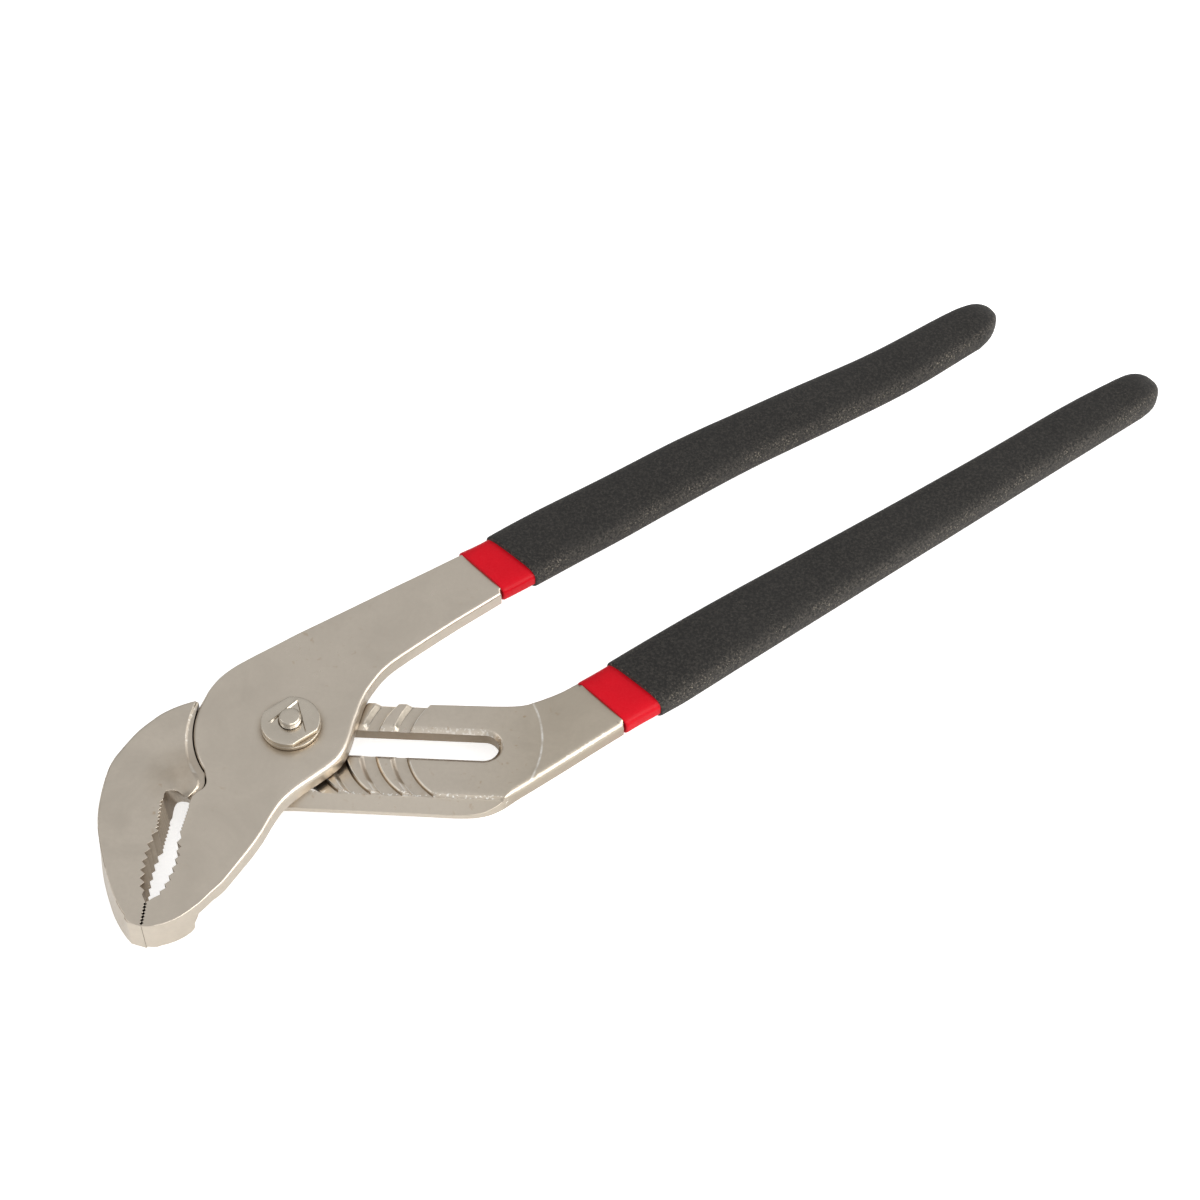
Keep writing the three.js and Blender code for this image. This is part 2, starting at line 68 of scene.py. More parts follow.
# Outlines of the tongued half, (x, y).
A_FAR = [
    (34.6, 53.8), (27.1, 48.4), (19.6, 43.1), (12.2, 37.8), (4.8, 32.5), (-2.5, 27.3),
    (-6.0, 24.6), (-9.6, 21.9), (-13.0, 19.3), (-16.3, 16.5), (-19.1, 13.2), (-21.1, 9.3),
    (-21.9, 6.5), (-22.3, 4.5), (-22.4, 1.6), (-22.3, -1.3), (-21.9, -3.9), (-21.1, -7.0),
    (-20.2, -9.7), (-19.1, -12.6), (-18.2, -15.0), (-17.8, -16.3), (-17.9, -17.6),
    (-18.6, -18.8), (-19.6, -19.8), (-20.5, -21.0)]
A_GULLETS = [
    (-21.15, -32.4), (-20.8, -34.7), (-20.7, -37.0), (-20.9, -39.3), (-21.3, -41.5),
    (-21.8, -43.7), (-22.5, -45.8), (-23.5, -47.6)]
A_TIPS = [
    (-22.0, -33.6), (-21.75, -35.9), (-21.75, -38.2), (-22.05, -40.5), (-22.5, -42.7),
    (-23.1, -44.9), (-23.9, -46.9), (-24.9, -48.5)]
A_NEAR = [
    (-26.45, -56.1), (-24.6, -56.1), (-22.4, -55.5), (-20.2, -54.5), (-18.0, -53.0),
    (-16.1, -51.2), (-14.1, -49.0), (-12.2, -46.4), (-10.1, -43.7), (-8.5, -40.9),
    (-6.7, -37.6), (-5.5, -35.4), (-4.1, -32.6), (-2.7, -29.3), (-1.7, -26.4), (-0.6, -23.7),
    (0.5, -21.4), (2.3, -18.9), (4.4, -16.6), (6.5, -14.6), (8.6, -12.6), (10.7, -10.5),
    (12.6, -8.0), (13.8, -4.9), (14.5, -1.4), (14.9, 2.0), (15.4, 5.0), (16.0, 8.5),
    (16.8, 11.4), (18.0, 14.1), (19.6, 17.1), (21.6, 19.8), (23.8, 22.1), (28.2, 26.3),
    (32.7, 30.5), (37.2, 34.6), (41.8, 38.6), (46.4, 42.6)]
# Edge of the full-thickness block under the jaw, from the tip up, (x, y).
A_BLOCK_EDGE = [
    (-17.6, -53.6), (-16.6, -51.7), (-15.9, -49.6), (-15.4, -47.0), (-15.3, -44.0),
    (-15.7, -40.0), (-16.7, -36.2), (-18.5, -32.6), (-21.6, -29.8), (-23.4, -28.4)]
# Outlines of the slotted half, (x, y).
B_FAR = [
    (66.5, 19.4), (62.4, 16.4), (57.8, 13.9), (55.5, 12.9), (53.1, 12.2), (48.3, 11.8),
    (38.7, 11.6), (30.8, 11.4), (16.2, 11.2), (6, 11.0), (-4, 10.6), (-12, 9.8), (-18, 8.4),
    (-22.2, 6.9), (-25.5, 5.7), (-28.7, 4.1), (-31.5, 2.1), (-33.8, -0.3), (-35.9, -2.8),
    (-37.7, -5.7), (-39.3, -8.7), (-40.7, -11.8), (-41.4, -15.7), (-41.7, -19.8),
    (-41.7, -24.3), (-41.4, -29.1), (-40.6, -33.9), (-39.4, -38.4), (-38.0, -42.3),
    (-36.7, -45.4), (-35.2, -48.6), (-33.4, -51.7), (-31.5, -54.2), (-30.0, -55.8)]
B_TEETH = [
    (-27.7, -47.9), (-27.4, -46.7), (-28.6, -45.7), (-27.7, -44.6), (-28.9, -43.6),
    (-27.95, -42.4), (-29.15, -41.4), (-28.05, -40.3), (-29.15, -39.1), (-27.95, -38.0),
    (-28.95, -36.8), (-27.8, -35.7), (-28.7, -34.4), (-27.4, -33.3), (-28.1, -32.0),
    (-26.8, -30.8)]
B_THROAT = [
    (-27.0, -22.0), (-27.0, -20.9), (-26.85, -20.1), (-26.3, -19.6), (-25.4, -19.35),
    (-24.6, -19.25), (-23.9, -19.35), (-23.3, -19.75), (-22.4, -20.5), (-21.3, -21.3)]
B_NEAR = [
    (-21.3, -21.3), (-16, -20.6), (-10, -19.3), (-4, -18.3), (1, -17.9), (10, -17.85),
    (30, -17.9), (41, -17.95), (44.8, -17.6), (47.5, -16.9), (49.8, -15.7), (51.4, -14.6),
    (54.8, -11.8), (58.1, -9.1), (64.7, -3.6), (71.4, 2.1), (78.2, 7.8)]

# Handle axes: origin (x, y), angle from X and slow turn away from it, in degrees.
HANDLE_A = dict(origin=(40.88, 48.91), angle=34.8, toe=1.05)
HANDLE_B = dict(origin=(72.69, 14.09), angle=38.76, toe=-1.05)
# In a handle's frame s runs along it and t across it, + on the far side.
A_TANG = [
    (1.5, -7.0), (14, -5.8), (60, -3.5), (84, -2.9), (104, -3.2), (120, -3.3), (136, -2.4),
    (141, 2.0), (136, 4.8), (104, 6.1), (60, 7.4), (14, 7.1)]
B_TANG = [
    (0.95, -7.4), (15, -6.6), (60, -4.4), (110, -2.4), (150, -0.4), (155, 3.2), (150, 6.8),
    (110, 7.0), (60, 7.2), (15, 7.0), (-1.3, 7.6)]
# Grip stations (s, near t, far t), and the curve (s, t) round the tail end.
GRIP_A = [
    (6, -8.5, 9.1), (16, -8.1, 9.8), (24, -7.8, 10.1), (32, -7.6, 10.15), (40, -7.3, 10.2),
    (48, -6.8, 10.35), (56, -6.4, 10.6), (64, -6.0, 10.75), (72, -5.7, 10.6),
    (80, -5.55, 10.25), (88, -5.65, 9.95), (96, -5.8, 9.65), (104, -5.95, 9.25),
    (112, -6.0, 8.8), (120, -6.05, 8.4), (128, -5.9, 8.3), (136, -5.4, 8.55),
    (144, -4.6, 8.9), (150, -4.0, 9.1), (154, -3.6, 9.0)]
GRIP_A_END = [(158.6, -2.1), (161.9, 0.4), (163.4, 3.2), (162.6, 6.0), (159.6, 8.1)]
GRIP_B = [
    (5, -8.95, 9.15), (16, -9.15, 9.6), (24, -8.8, 9.85), (32, -8.4, 10.05), (40, -8.05, 10.1),
    (48, -7.7, 10.1), (56, -7.35, 10.0), (64, -7.0, 9.9), (72, -6.65, 9.8), (80, -6.3, 9.7),
    (88, -5.95, 9.65), (96, -5.6, 9.6), (104, -5.3, 9.6), (112, -4.95, 9.65), (120, -4.6, 9.7),
    (128, -4.2, 9.8), (136, -3.85, 9.95), (144, -3.5, 10.2), (152, -3.2, 10.4),
    (160, -2.85, 10.35), (168, -2.5, 10.05), (172, -2.3, 9.8)]
GRIP_B_END = [(176.6, -1.5), (179.9, 0.9), (181.2, 3.8), (180.2, 7.0), (176.8, 9.2)]


def handle_point(handle, s, t):
    drift = max(0.0, s - 4) * math.tan(handle["toe"] * DEG)
    cos, sin = math.cos(handle["angle"] * DEG), math.sin(handle["angle"] * DEG)
    x, y = handle["origin"]
    return [x + s * cos - (t + drift) * sin, y + s * sin + (t + drift) * cos]


# ------------------------------------------------------------------ plane curves
def between(time, start_time, start, end_time, end):
    span = end_time - start_time
    return (end_time - time) / span * start + (time - start_time) / span * end


def spline(points, step):
    """Centripetal Catmull-Rom curve through the points, sampled evenly."""
    knots = np.array(points, float)
    knots = np.vstack([2 * knots[0] - knots[1], knots, 2 * knots[-1] - knots[-2]])
    curve = []
    for i in range(1, len(knots) - 2):
        quad = knots[i - 1:i + 3]
        times = [0.0]
        for start, end in zip(quad[:-1], quad[1:]):
            times.append(times[-1] + np.linalg.norm(end - start) ** 0.5)
        for time in np.linspace(times[1], times[2], 16, endpoint=False):
            outer = [between(time, times[j], quad[j], times[j + 1], quad[j + 1])
                     for j in range(3)]
            inner = [between(time, times[j], outer[j], times[j + 2], outer[j + 1])
                     for j in range(2)]
            curve.append(between(time, times[1], inner[0], times[2], inner[1]))
    curve.append(knots[-2])
    curve = np.array(curve)
    length = np.r_[0, np.cumsum(np.linalg.norm(np.diff(curve, axis=0), axis=1))]
    places = np.linspace(0, length[-1], max(1, int(round(length[-1] / step))) + 1)
    return np.c_[np.interp(places, length, curve[:, 0]), np.interp(places, length, curve[:, 1])]


def subdivide(points, step):
    """The polyline with extra points along it and every corner kept."""
    points = np.array(points, float)
    line = [points[0]]
    for start, end in zip(points[:-1], points[1:]):
        count = max(1, int(round(np.linalg.norm(end - start) / step)))
        line += [start + (end - start) * i / count for i in range(1, count + 1)]
    return np.array(line)


def zigzag(start, end, pitch, depth, lead=0.25):
    """A line with fine V cuts to its left, and a plain lead at both ends."""
    start, end = np.array(start, float), np.array(end, float)
    length = np.linalg.norm(end - start)
    along = (end - start) / length
    left = np.array([-along[1], along[0]])
    count = int(round((length - 2 * lead) / pitch))
    pitch = (length - 2 * lead) / count
    line = [start]
    for i in range(count):
        place = lead + i * pitch
        line += [start + along * place, start + along * (place + pitch * 0.5) + left * depth]
    return np.array(line + [start + along * (length - lead), end])


def nose(flat_x, cut_x, end_y):
    """Fine teeth on a jaw's nose, from the top down."""
    start_y, count = -49.9, 7
    pitch = (end_y + 0.35 - start_y) / count
    line = [(flat_x, start_y)]
    for i in range(count):
        line.append((cut_x, start_y + pitch * (i + 0.5)))
        line.append((flat_x, start_y + pitch * (i + 0.98)))
    return line + [(flat_x, end_y)]


def arc(radius, angles, centre=(0, 0)):
    return [(centre[0] + radius * math.cos(a), centre[1] + radius * math.sin(a)) for a in angles]


def turn(count):
    return np.linspace(0, 2 * math.pi, count, endpoint=False)


def join_outline(parts, tolerance=0.02):
    """Chains (name, points) parts into a closed outline. Returns points and their part names."""
    points, names = [], []
    for name, part in parts:
        for point in part:
            if not points or np.hypot(*(np.array(point) - points[-1])) > tolerance:
                points.append(np.array(point, float))
                names.append(name)
    if np.hypot(*(points[0] - points[-1])) < tolerance:
        points.pop()
        names.pop()
    return np.array(points), np.array(names)


def inside(polygon, points):
    """Which of the points lie in the polygon."""
    x, y = points[:, 0][:, None], points[:, 1][:, None]
    x0, y0 = polygon[:, 0][None], polygon[:, 1][None]
    x1, y1 = np.roll(polygon[:, 0], -1)[None], np.roll(polygon[:, 1], -1)[None]
    spans = (y0 > y) != (y1 > y)
    with np.errstate(divide="ignore", invalid="ignore"):
        cross_x = (x1 - x0) * (y - y0) / (y1 - y0) + x0
    return (np.sum(spans & (x < cross_x), axis=1) % 2) == 1


def line_distance(line, points):
    """Distance of each point from the line, + to its left, and the place along it as an index."""
    starts, spans = line[:-1], line[1:] - line[:-1]
    squares = (spans ** 2).sum(1)
    best = np.full(len(points), 1e9)
    sign = np.ones(len(points))
    place = np.zeros(len(points))
    for i, span in enumerate(spans):
        offset = points - starts[i]
        share = np.clip((offset @ span) / squares[i], 0, 1)
        distance = np.linalg.norm(offset - share[:, None] * span, axis=1)
        side = span[0] * offset[:, 1] - span[1] * offset[:, 0]
        better = distance < best - 1e-9
        best = np.where(better, distance, best)
        sign = np.where(better, np.where(side >= 0, 1.0, -1.0), sign)
        place = np.where(better, i + share, place)
    return best * sign, place


def left_normals(line):
    along = np.gradient(line, axis=0)
    along /= np.linalg.norm(along, axis=1)[:, None] + 1e-12
    return np.c_[-along[:, 1], along[:, 0]]


def smoothstep(start, end, value):
    share = np.clip((np.asarray(value, float) - start) / (end - start), 0, 1)
    return share * share * (3 - 2 * share)


def runs_where(line, keep):
    """Splits a line into the runs of points where keep is true."""
    runs, current = [], []
    for point, kept in zip([*line, None], [*keep, False]):
        if kept:
            current.append(point)
        else:
            if len(current) > 1:
                runs.append(np.array(current))
            current = []
    return runs


# ------------------------------------------------------------------ slabs
class Rim:
    """An anticlockwise outline with edge radii and insets of its wall's top and bottom."""

    LINEAR = ("points", "top_radius", "bottom_radius",
              "top_shift", "top_round", "bottom_shift", "bottom_round")

    def __init__(self, points, top_radius, bottom_radius, top_inset=0, bottom_inset=0):
        def full(value):
            return np.zeros(len(points)) + value
        self.points = np.array(points, float)
        self.top_radius, self.bottom_radius = full(top_radius), full(bottom_radius)
        self.top_inset, self.bottom_inset = full(top_inset), full(bottom_inset)
        before = self.points - np.roll(self.points, 1, axis=0)
        after = np.roll(self.points, -1, axis=0) - self.points
        before /= np.linalg.norm(before, axis=1)[:, None]
        after /= np.linalg.norm(after, axis=1)[:, None]
        left = np.c_[-before[:, 1], before[:, 0]]
        mitre = left + np.c_[-after[:, 1], after[:, 0]]
        mitre /= np.linalg.norm(mitre, axis=1)[:, None] + 1e-9
        stretch = 1 / np.clip((mitre * left).sum(1), 0.62, 1)
        self.normals = mitre * stretch[:, None]

    def freeze(self):
        """Turns insets and radii into vectors, which stay linear when an edge is split."""
        self.top_shift = self.normals * self.top_inset[:, None]
        self.top_round = self.normals * self.top_radius[:, None]
        self.bottom_shift = self.normals * self.bottom_inset[:, None]
        self.bottom_round = self.normals * self.bottom_radius[:, None]

    def split(self, i, share):
        for name in self.LINEAR:
            values = getattr(self, name)
            value = values[i] * (1 - share) + values[(i + 1) % len(values)] * share
            setattr(self, name, np.insert(values, i + 1, value, axis=0))

    def top(self, amount=1.0):
        return self.points + self.top_shift + self.top_round * amount

    def bottom(self, amount=1.0):
        return self.points + self.bottom_shift + self.bottom_round * amount


def crossings(ring, lines):
    """(edge index, place on it) wherever a line crosses the ring."""
    edge = np.roll(ring, -1, axis=0) - ring
    found = []
    for line in lines:
        for start, end in zip(line[:-1], line[1:]):
            span = end - start
            area = edge[:, 0] * span[1] - edge[:, 1] * span[0]
            skew = np.abs(area) > 1e-12
            area = np.where(skew, area, 1)
            offset = start - ring
            on_ring = (offset[:, 0] * span[1] - offset[:, 1] * span[0]) / area
            on_line = (offset[:, 0] * edge[:, 1] - offset[:, 1] * edge[:, 0]) / area
            hit = skew
            for share in (on_ring, on_line):
                hit = hit & (share > -1e-9) & (share < 1 + 1e-9)
            found += [(int(i), float(on_ring[i])) for i in np.nonzero(hit)[0]]
    return found


def refine(rim, get_ring, lines, gap=2e-3):
    """Splits the rim where the lines cross its ring, unless closer than the gap to a vertex."""
    ring = get_ring()
    lengths = np.linalg.norm(np.roll(ring, -1, axis=0) - ring, axis=1)
    by_edge = {}
    for i, share in crossings(ring, lines):
        if share * lengths[i] > gap and (1 - share) * lengths[i] > gap:
            by_edge.setdefault(i, []).append(share)
    for i in sorted(by_edge, reverse=True):
        kept = []
        for share in sorted(set(round(share, 9) for share in by_edge[i])):
            if not kept or (share - kept[-1]) * lengths[i] > gap:
                kept.append(share)
        last = 1.0
        for share in reversed(kept):
            rim.split(i, share / last)
            last = share


def ring_pairs(count):
    return [(i, (i + 1) % count) for i in range(count)]


def fill(loops, lines, grid, height):
    """Triangulates inside loops[0] and outside the other loops.

    lines are (points, heights) kept as edges, grid holds (x, y, spacing) of extra points.
    Returns points (x, y, z) and triangles."""
    def within(places):
        kept = inside(loops[0], places)
        for hole in loops[1:]:
            kept &= ~inside(hole, places)
        return kept

    points, edges, heights = [], [], []
    for loop in loops:
        base = len(points)
        points += list(loop)
        heights += [np.nan] * len(loop)
        edges += [(base + i, base + j) for i, j in ring_pairs(len(loop))]
    loop_count = len(points)
    for line, line_heights in lines:
        kept = within(line)
        base = len(points)
        points += list(line)
        heights += list(line_heights)
        edges += [(base + i, base + i + 1) for i in range(len(line) - 1)
                  if kept[i] or kept[i + 1]]
    fixed = np.array(points)
    if len(grid):
        grid = np.array(grid, float)
        for place in grid[within(grid[:, :2])]:
            if np.min(((fixed - place[:2]) ** 2).sum(1)) > (0.45 * place[2]) ** 2:
                points.append(place[:2])
                heights.append(np.nan)
    flat = [Vector((float(point[0]), float(point[1]))) for point in points]
    result = delaunay_2d_cdt(flat, edges, [], 0, 2e-5)
    flat = np.array([list(vertex) for vertex in result[0]])
    triangles = np.array([list(face) for face in result[2]])
    corners = flat[triangles]
    side, other = corners[:, 1] - corners[:, 0], corners[:, 2] - corners[:, 0]
    area = np.abs(side[:, 0] * other[:, 1] - side[:, 1] * other[:, 0])
    triangles = triangles[within(corners.mean(1)) & (area > 1e-9)]
    z = np.asarray(height(flat), float)
    for i, sources in enumerate(result[3]):
        given = [heights[k] for k in sources if not np.isnan(heights[k])]
        if given and min(sources) >= loop_count:
            z[i] = given[-1]
    return np.c_[flat, z], triangles


def drop_repeats(ring):
    kept = [ring[0]]
    for point in ring[1:]:
        if np.hypot(*(point - kept[-1])) > 1e-4:
            kept.append(point)
    if np.hypot(*(kept[0] - kept[-1])) < 1e-4:
        kept.pop()
    return np.array(kept)


def slab(rim, top_height, bottom_height, top_lines=(), bottom_lines=(), holes=(),
         top_grid=(), bottom_grid=(), fillet_steps=5, rows=2):
    """A solid between two height functions, with rounded edges. Hole loops run clockwise."""
    rim.freeze()
    refine(rim, rim.top, [line for line, _ in top_lines])
    refine(rim, rim.bottom, [line for line, _ in bottom_lines])
    verts, faces = [], []

    def add(points):
        verts.extend([tuple(map(float, point)) for point in points])
        return len(verts) - len(points)

    def wall(upper, lower, count):
        faces.extend((upper + i, lower + i, lower + j, upper + j) for i, j in ring_pairs(count))

    top_z = np.asarray(top_height(rim.top()), float)
    bottom_z = np.asarray(bottom_height(rim.bottom()), float)
    angles = [k / fillet_steps * math.pi / 2 for k in range(fillet_steps + 1)]
    top_edge = [np.c_[rim.top(1 - math.cos(a)), top_z - rim.top_radius * (1 - math.sin(a))]
                for a in angles]
    bottom_edge = [np.c_[rim.bottom(1 - math.cos(a)),
                         bottom_z + rim.bottom_radius * (1 - math.sin(a))] for a in angles]
    upper, lower = top_edge[0], bottom_edge[0]
    middle = [upper + (lower - upper) * j / rows for j in range(1, rows)]
    starts = [add(band) for band in top_edge[::-1] + middle + bottom_edge]
    for first, second in zip(starts[:-1], starts[1:]):
        wall(first, second, len(rim.points))
    holes = [np.array(hole, float) for hole in holes]
    for hole in holes:
        upper = add(np.c_[hole, top_height(hole)])
        wall(upper, add(np.c_[hole, bottom_height(hole)]), len(hole))
    for ring, lines, grid, height, order in (
            (rim.top(), top_lines, top_grid, top_height, [0, 1, 2]),
            (rim.bottom(), bottom_lines, bottom_grid, bottom_height, [0, 2, 1])):
        points, triangles = fill([drop_repeats(ring)] + holes, lines, grid, height)
        faces += (triangles[:, order] + add(points)).tolist()
    return verts, faces


def level(z):
    """A flat height function."""
    return lambda points: np.full(len(points), z)


def staggered_grid(x_range, y_range, step):
    """(x, y, step) of points in staggered rows."""
    points = []
    row, y = 0, y_range[0]
    while y <= y_range[1]:
        x = x_range[0] + (step / 2 if row % 2 else 0)
        while x <= x_range[1]:
            points.append((x, y, step))
            x += step
        y += step * 0.87
        row += 1
    return points


def make(name, shells, body, material, replaced, angle=32):
    """Joins shells of (vertices in mm, faces) into one object that rides on a CAD body."""
    bm = bmesh.new()
    for verts, faces in shells:
        made = [bm.verts.new(Vector(vert) * MM) for vert in verts]
        for face in faces:
            try:
                bm.faces.new([made[i] for i in face])
            except ValueError:      # the face is there already, or repeats a vertex
                pass
    bmesh.ops.remove_doubles(bm, verts=bm.verts, dist=MERGE * MM)
    bmesh.ops.dissolve_degenerate(bm, dist=MERGE * MM * 0.5, edges=bm.edges)
    gaps = [edge for edge in bm.edges if len(edge.link_faces) == 1]
    if gaps:
        bmesh.ops.holes_fill(bm, edges=gaps, sides=6)
    loose = [vert for vert in bm.verts if not vert.link_faces]
    bmesh.ops.delete(bm, geom=loose, context="VERTS")
    bmesh.ops.recalc_face_normals(bm, faces=bm.faces)
    mesh = bpy.data.meshes.new(name)
    bm.to_mesh(mesh)
    bm.free()
    piece = bpy.data.objects.new(name, mesh)
    bpy.context.scene.collection.objects.link(piece)
    for polygon in mesh.polygons:
        polygon.use_smooth = True
    mesh.set_sharp_from_angle(angle=angle * DEG)
    shading = piece.modifiers.new("shading", "WEIGHTED_NORMAL")
    shading.keep_sharp = True
    shading.mode = "FACE_AREA"
    shading.weight = 60
    mesh.materials.append(material)
    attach(piece, body)
    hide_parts(replaced)


# ------------------------------------------------------------------ shader nodes
class Nodes:
    """Builds one node tree. An input takes a socket, a number or an RGB tuple."""

    def __init__(self, node_tree):
        self.node_tree = node_tree
        node_tree.nodes.clear()

    def feed(self, socket, value):
        if isinstance(value, bpy.types.NodeSocket):
            self.node_tree.links.new(value, socket)
        elif isinstance(value, tuple):
            socket.default_value = (*value, 1)
        else:
            socket.default_value = value

    def add(self, kind, *values):
        """A node whose first inputs take the values."""
        node = self.node_tree.nodes.new("ShaderNode" + kind)
        for socket, value in zip(node.inputs, values):
            self.feed(socket, value)
        return node

    def result(self, kind, *values):
        return self.add(kind, *values).outputs[0]

    def noise(self, scale, detail=4, roughness=0.55, distortion=0.0):
        node = self.add("TexNoise")
        for name, value in (("Scale", scale), ("Detail", detail), ("Roughness", roughness),
                            ("Distortion", distortion), ("Vector", self.position)):
            self.feed(node.inputs[name], value)
        return node.outputs["Fac"]

    def ramp(self, value, stops):
        """Colour ramp of (position, RGB or grey)."""
        node = self.add("ValToRGB")
        elements = node.color_ramp.elements
        while len(elements) < len(stops):
            elements.new(0.5)
        for k, (position, colour) in enumerate(stops):
            elements[k].position = position
            elements[k].color = (*(colour if isinstance(colour, tuple) else (colour,) * 3), 1)
        self.feed(node.inputs["Fac"], value)
        return node.outputs["Color"]

    def remap(self, value, span, to=(0, 1), unit=1):
        """Maps the span onto another range, held at its ends."""
        node = self.add("MapRange")
        limits = (span[0] * unit, span[1] * unit, *to)
        for name, limit in zip(("From Min", "From Max", "To Min", "To Max"), limits):
            node.inputs[name].default_value = limit
        self.feed(node.inputs["Value"], value)
        return node.outputs["Result"]

    def remap_mm(self, value, span, to=(0, 1)):
        return self.remap(value, span, to, unit=MM)

    def mix(self, amount, first, second, mode="MIX"):
        node = self.add("Mix")
        node.data_type = "RGBA"
        node.blend_type = mode
        # of the node's many sockets, these are the factor and the two colours
        for index, value in ((0, amount), (6, first), (7, second)):
            self.feed(node.inputs[index], value)
        return node.outputs[2]

    def darken(self, amount, colour, tint):
        return self.mix(amount, colour, self.mix(1.0, colour, tint, "MULTIPLY"))

    def math(self, operation, first, second=0.0):
        node = self.add("Math", first, second)
        node.operation = operation
        return node.outputs[0]

    def times(self, first, *others):
        for other in others:
            first = self.math("MULTIPLY", first, other)
        return first

    def distance(self, point_mm):
        node = self.add("VectorMath", self.position)
        node.operation = "DISTANCE"
        node.inputs[1].default_value = [value * MM for value in point_mm]
        return node.outputs["Value"]

    def relief(self, surface, layers):
        """Stacks bumps of (height, strength, distance in m) on the surface's normal."""
        normal = None
        for height, strength, distance in layers:
            node = self.add("Bump")
            node.inputs["Strength"].default_value = strength
            node.inputs["Distance"].default_value = distance
            self.feed(node.inputs["Height"], height)
            if normal is not None:
                self.feed(node.inputs["Normal"], normal)
            normal = node.outputs[0]
        self.feed(surface.inputs["Normal"], normal)


def new_material(name):
    """Returns a material, its node builder and its Principled surface."""
    material = bpy.data.materials.new(name)
    material.use_nodes = True
    tree = Nodes(material.node_tree)
    output = tree.add("OutputMaterial")
    surface = tree.add("BsdfPrincipled")
    tree.feed(output.inputs[0], surface.outputs[0])
    tree.position = tree.add("TexCoord").outputs["Object"]
    return material, tree, surface


def srgb(*channels):
    """Linear colour from 8-bit sRGB channels."""
    return tuple((v / 255) / 12.92 if v / 255 <= 0.04045 else ((v / 255 + 0.055) / 1.055) ** 2.4
                 for v in channels)


def scaled(colour, factor):
    return tuple(np.multiply(colour, factor).tolist())


# ------------------------------------------------------------------ steel
def plate_spot(tree):
    """Measures of a point on the slotted half: its normal (lean_x, lean_y, lean_z), place
    (x, y, z) and |y|. centre_x is the X of the pivot whose groove wall would pass through it,
    past_wall its distance along X from the nearest groove's steep wall, in mm."""
    lean_x, lean_y, lean_z = tree.add("SeparateXYZ", tree.add("TexCoord").outputs["Normal"]).outputs
    x, y, z = tree.add("SeparateXYZ", tree.position).outputs
    rest = tree.math("SUBTRACT", (GROOVE_RADIUS * MM) ** 2, tree.math("MULTIPLY", y, y))
    centre_x = tree.math("ADD", x, tree.math("SQRT", tree.math("MAXIMUM", rest, 0.0)))
    turns = tree.math("DIVIDE", centre_x, PITCH * MM)
    past_wall = tree.times(tree.math("SUBTRACT", turns, tree.math("ROUND", turns)), PITCH)
    return SimpleNamespace(lean_x=lean_x, lean_y=lean_y, lean_z=lean_z, x=x, y=y, z=z,
                           across=tree.math("ABSOLUTE", y), centre_x=centre_x,
                           past_wall=past_wall)


def plate_painted_shade(tree, colour, cloud, spot):
    """Painted shade: darker plate on the slotted half's ramps and walls, by the way they face."""
    remap, remap_mm = tree.remap, tree.remap_mm
    near_ramps = tree.times(
        remap(spot.lean_y, span=(0.10, 0.34), to=(0, 0.55)),
        remap(spot.lean_z, span=(0.25, 0.5)),
        remap_mm(spot.y, span=(-11.6, -10.8)))
    walls_to_plus_x = tree.times(
        remap(spot.lean_x, span=(0.55, 0.85)),
        remap(spot.lean_z, span=(0.45, 0.15)))
    steep_groove_walls = tree.times(
        remap(spot.lean_x, span=(-0.30, -0.55), to=(0, 1.25)),
        remap(spot.lean_z, span=(0.12, 0.30)),
        remap(spot.lean_z, span=(0.72, 0.92), to=(1, 0)),
        remap(spot.past_wall, span=(-0.06, -0.26)))
    slot_walls = tree.times(
        remap_mm(spot.across, span=(4.3, 4.6), to=(1, 0)),
        remap(spot.lean_z, span=(0.60, 0.25), to=(0, 0.9)),
        remap_mm(spot.x, span=(51, 53), to=(1, 0)),
        remap(spot.lean_z, span=(-0.6, -0.4)))
    far_ramps = tree.times(
        remap(spot.lean_y, span=(-0.06, -0.16), to=(0, 1.15)),
        remap(spot.lean_x, span=(0.10, 0.22)),
        remap_mm(spot.y, span=(4.4, 5.0)),
        remap_mm(spot.x, span=(51, 53), to=(1, 0)),
        remap_mm(spot.z, span=(7.2, 7.8), to=(1, 0.4)))
    # all these masks paint shade into the plate's colour
    brown = tree.math("MAXIMUM", tree.math("MAXIMUM", near_ramps, walls_to_plus_x),
                      tree.math("MAXIMUM", steep_groove_walls, slot_walls))
    brown = tree.times(brown, remap(cloud, span=(0.3, 0.7), to=(0.75, 1.0)))
    colour = tree.darken(tree.math("MINIMUM", brown, 1.0), colour, tint=(0.50, 0.44, 0.38))
    colour = tree.darken(tree.math("MINIMUM", far_ramps, 1.0), colour, tint=(0.36, 0.36, 0.355))
    # the shank and tang are a little browner than the jaw
    return tree.darken(remap_mm(spot.x, span=(38, 60)), colour, tint=(0.90, 0.885, 0.85))


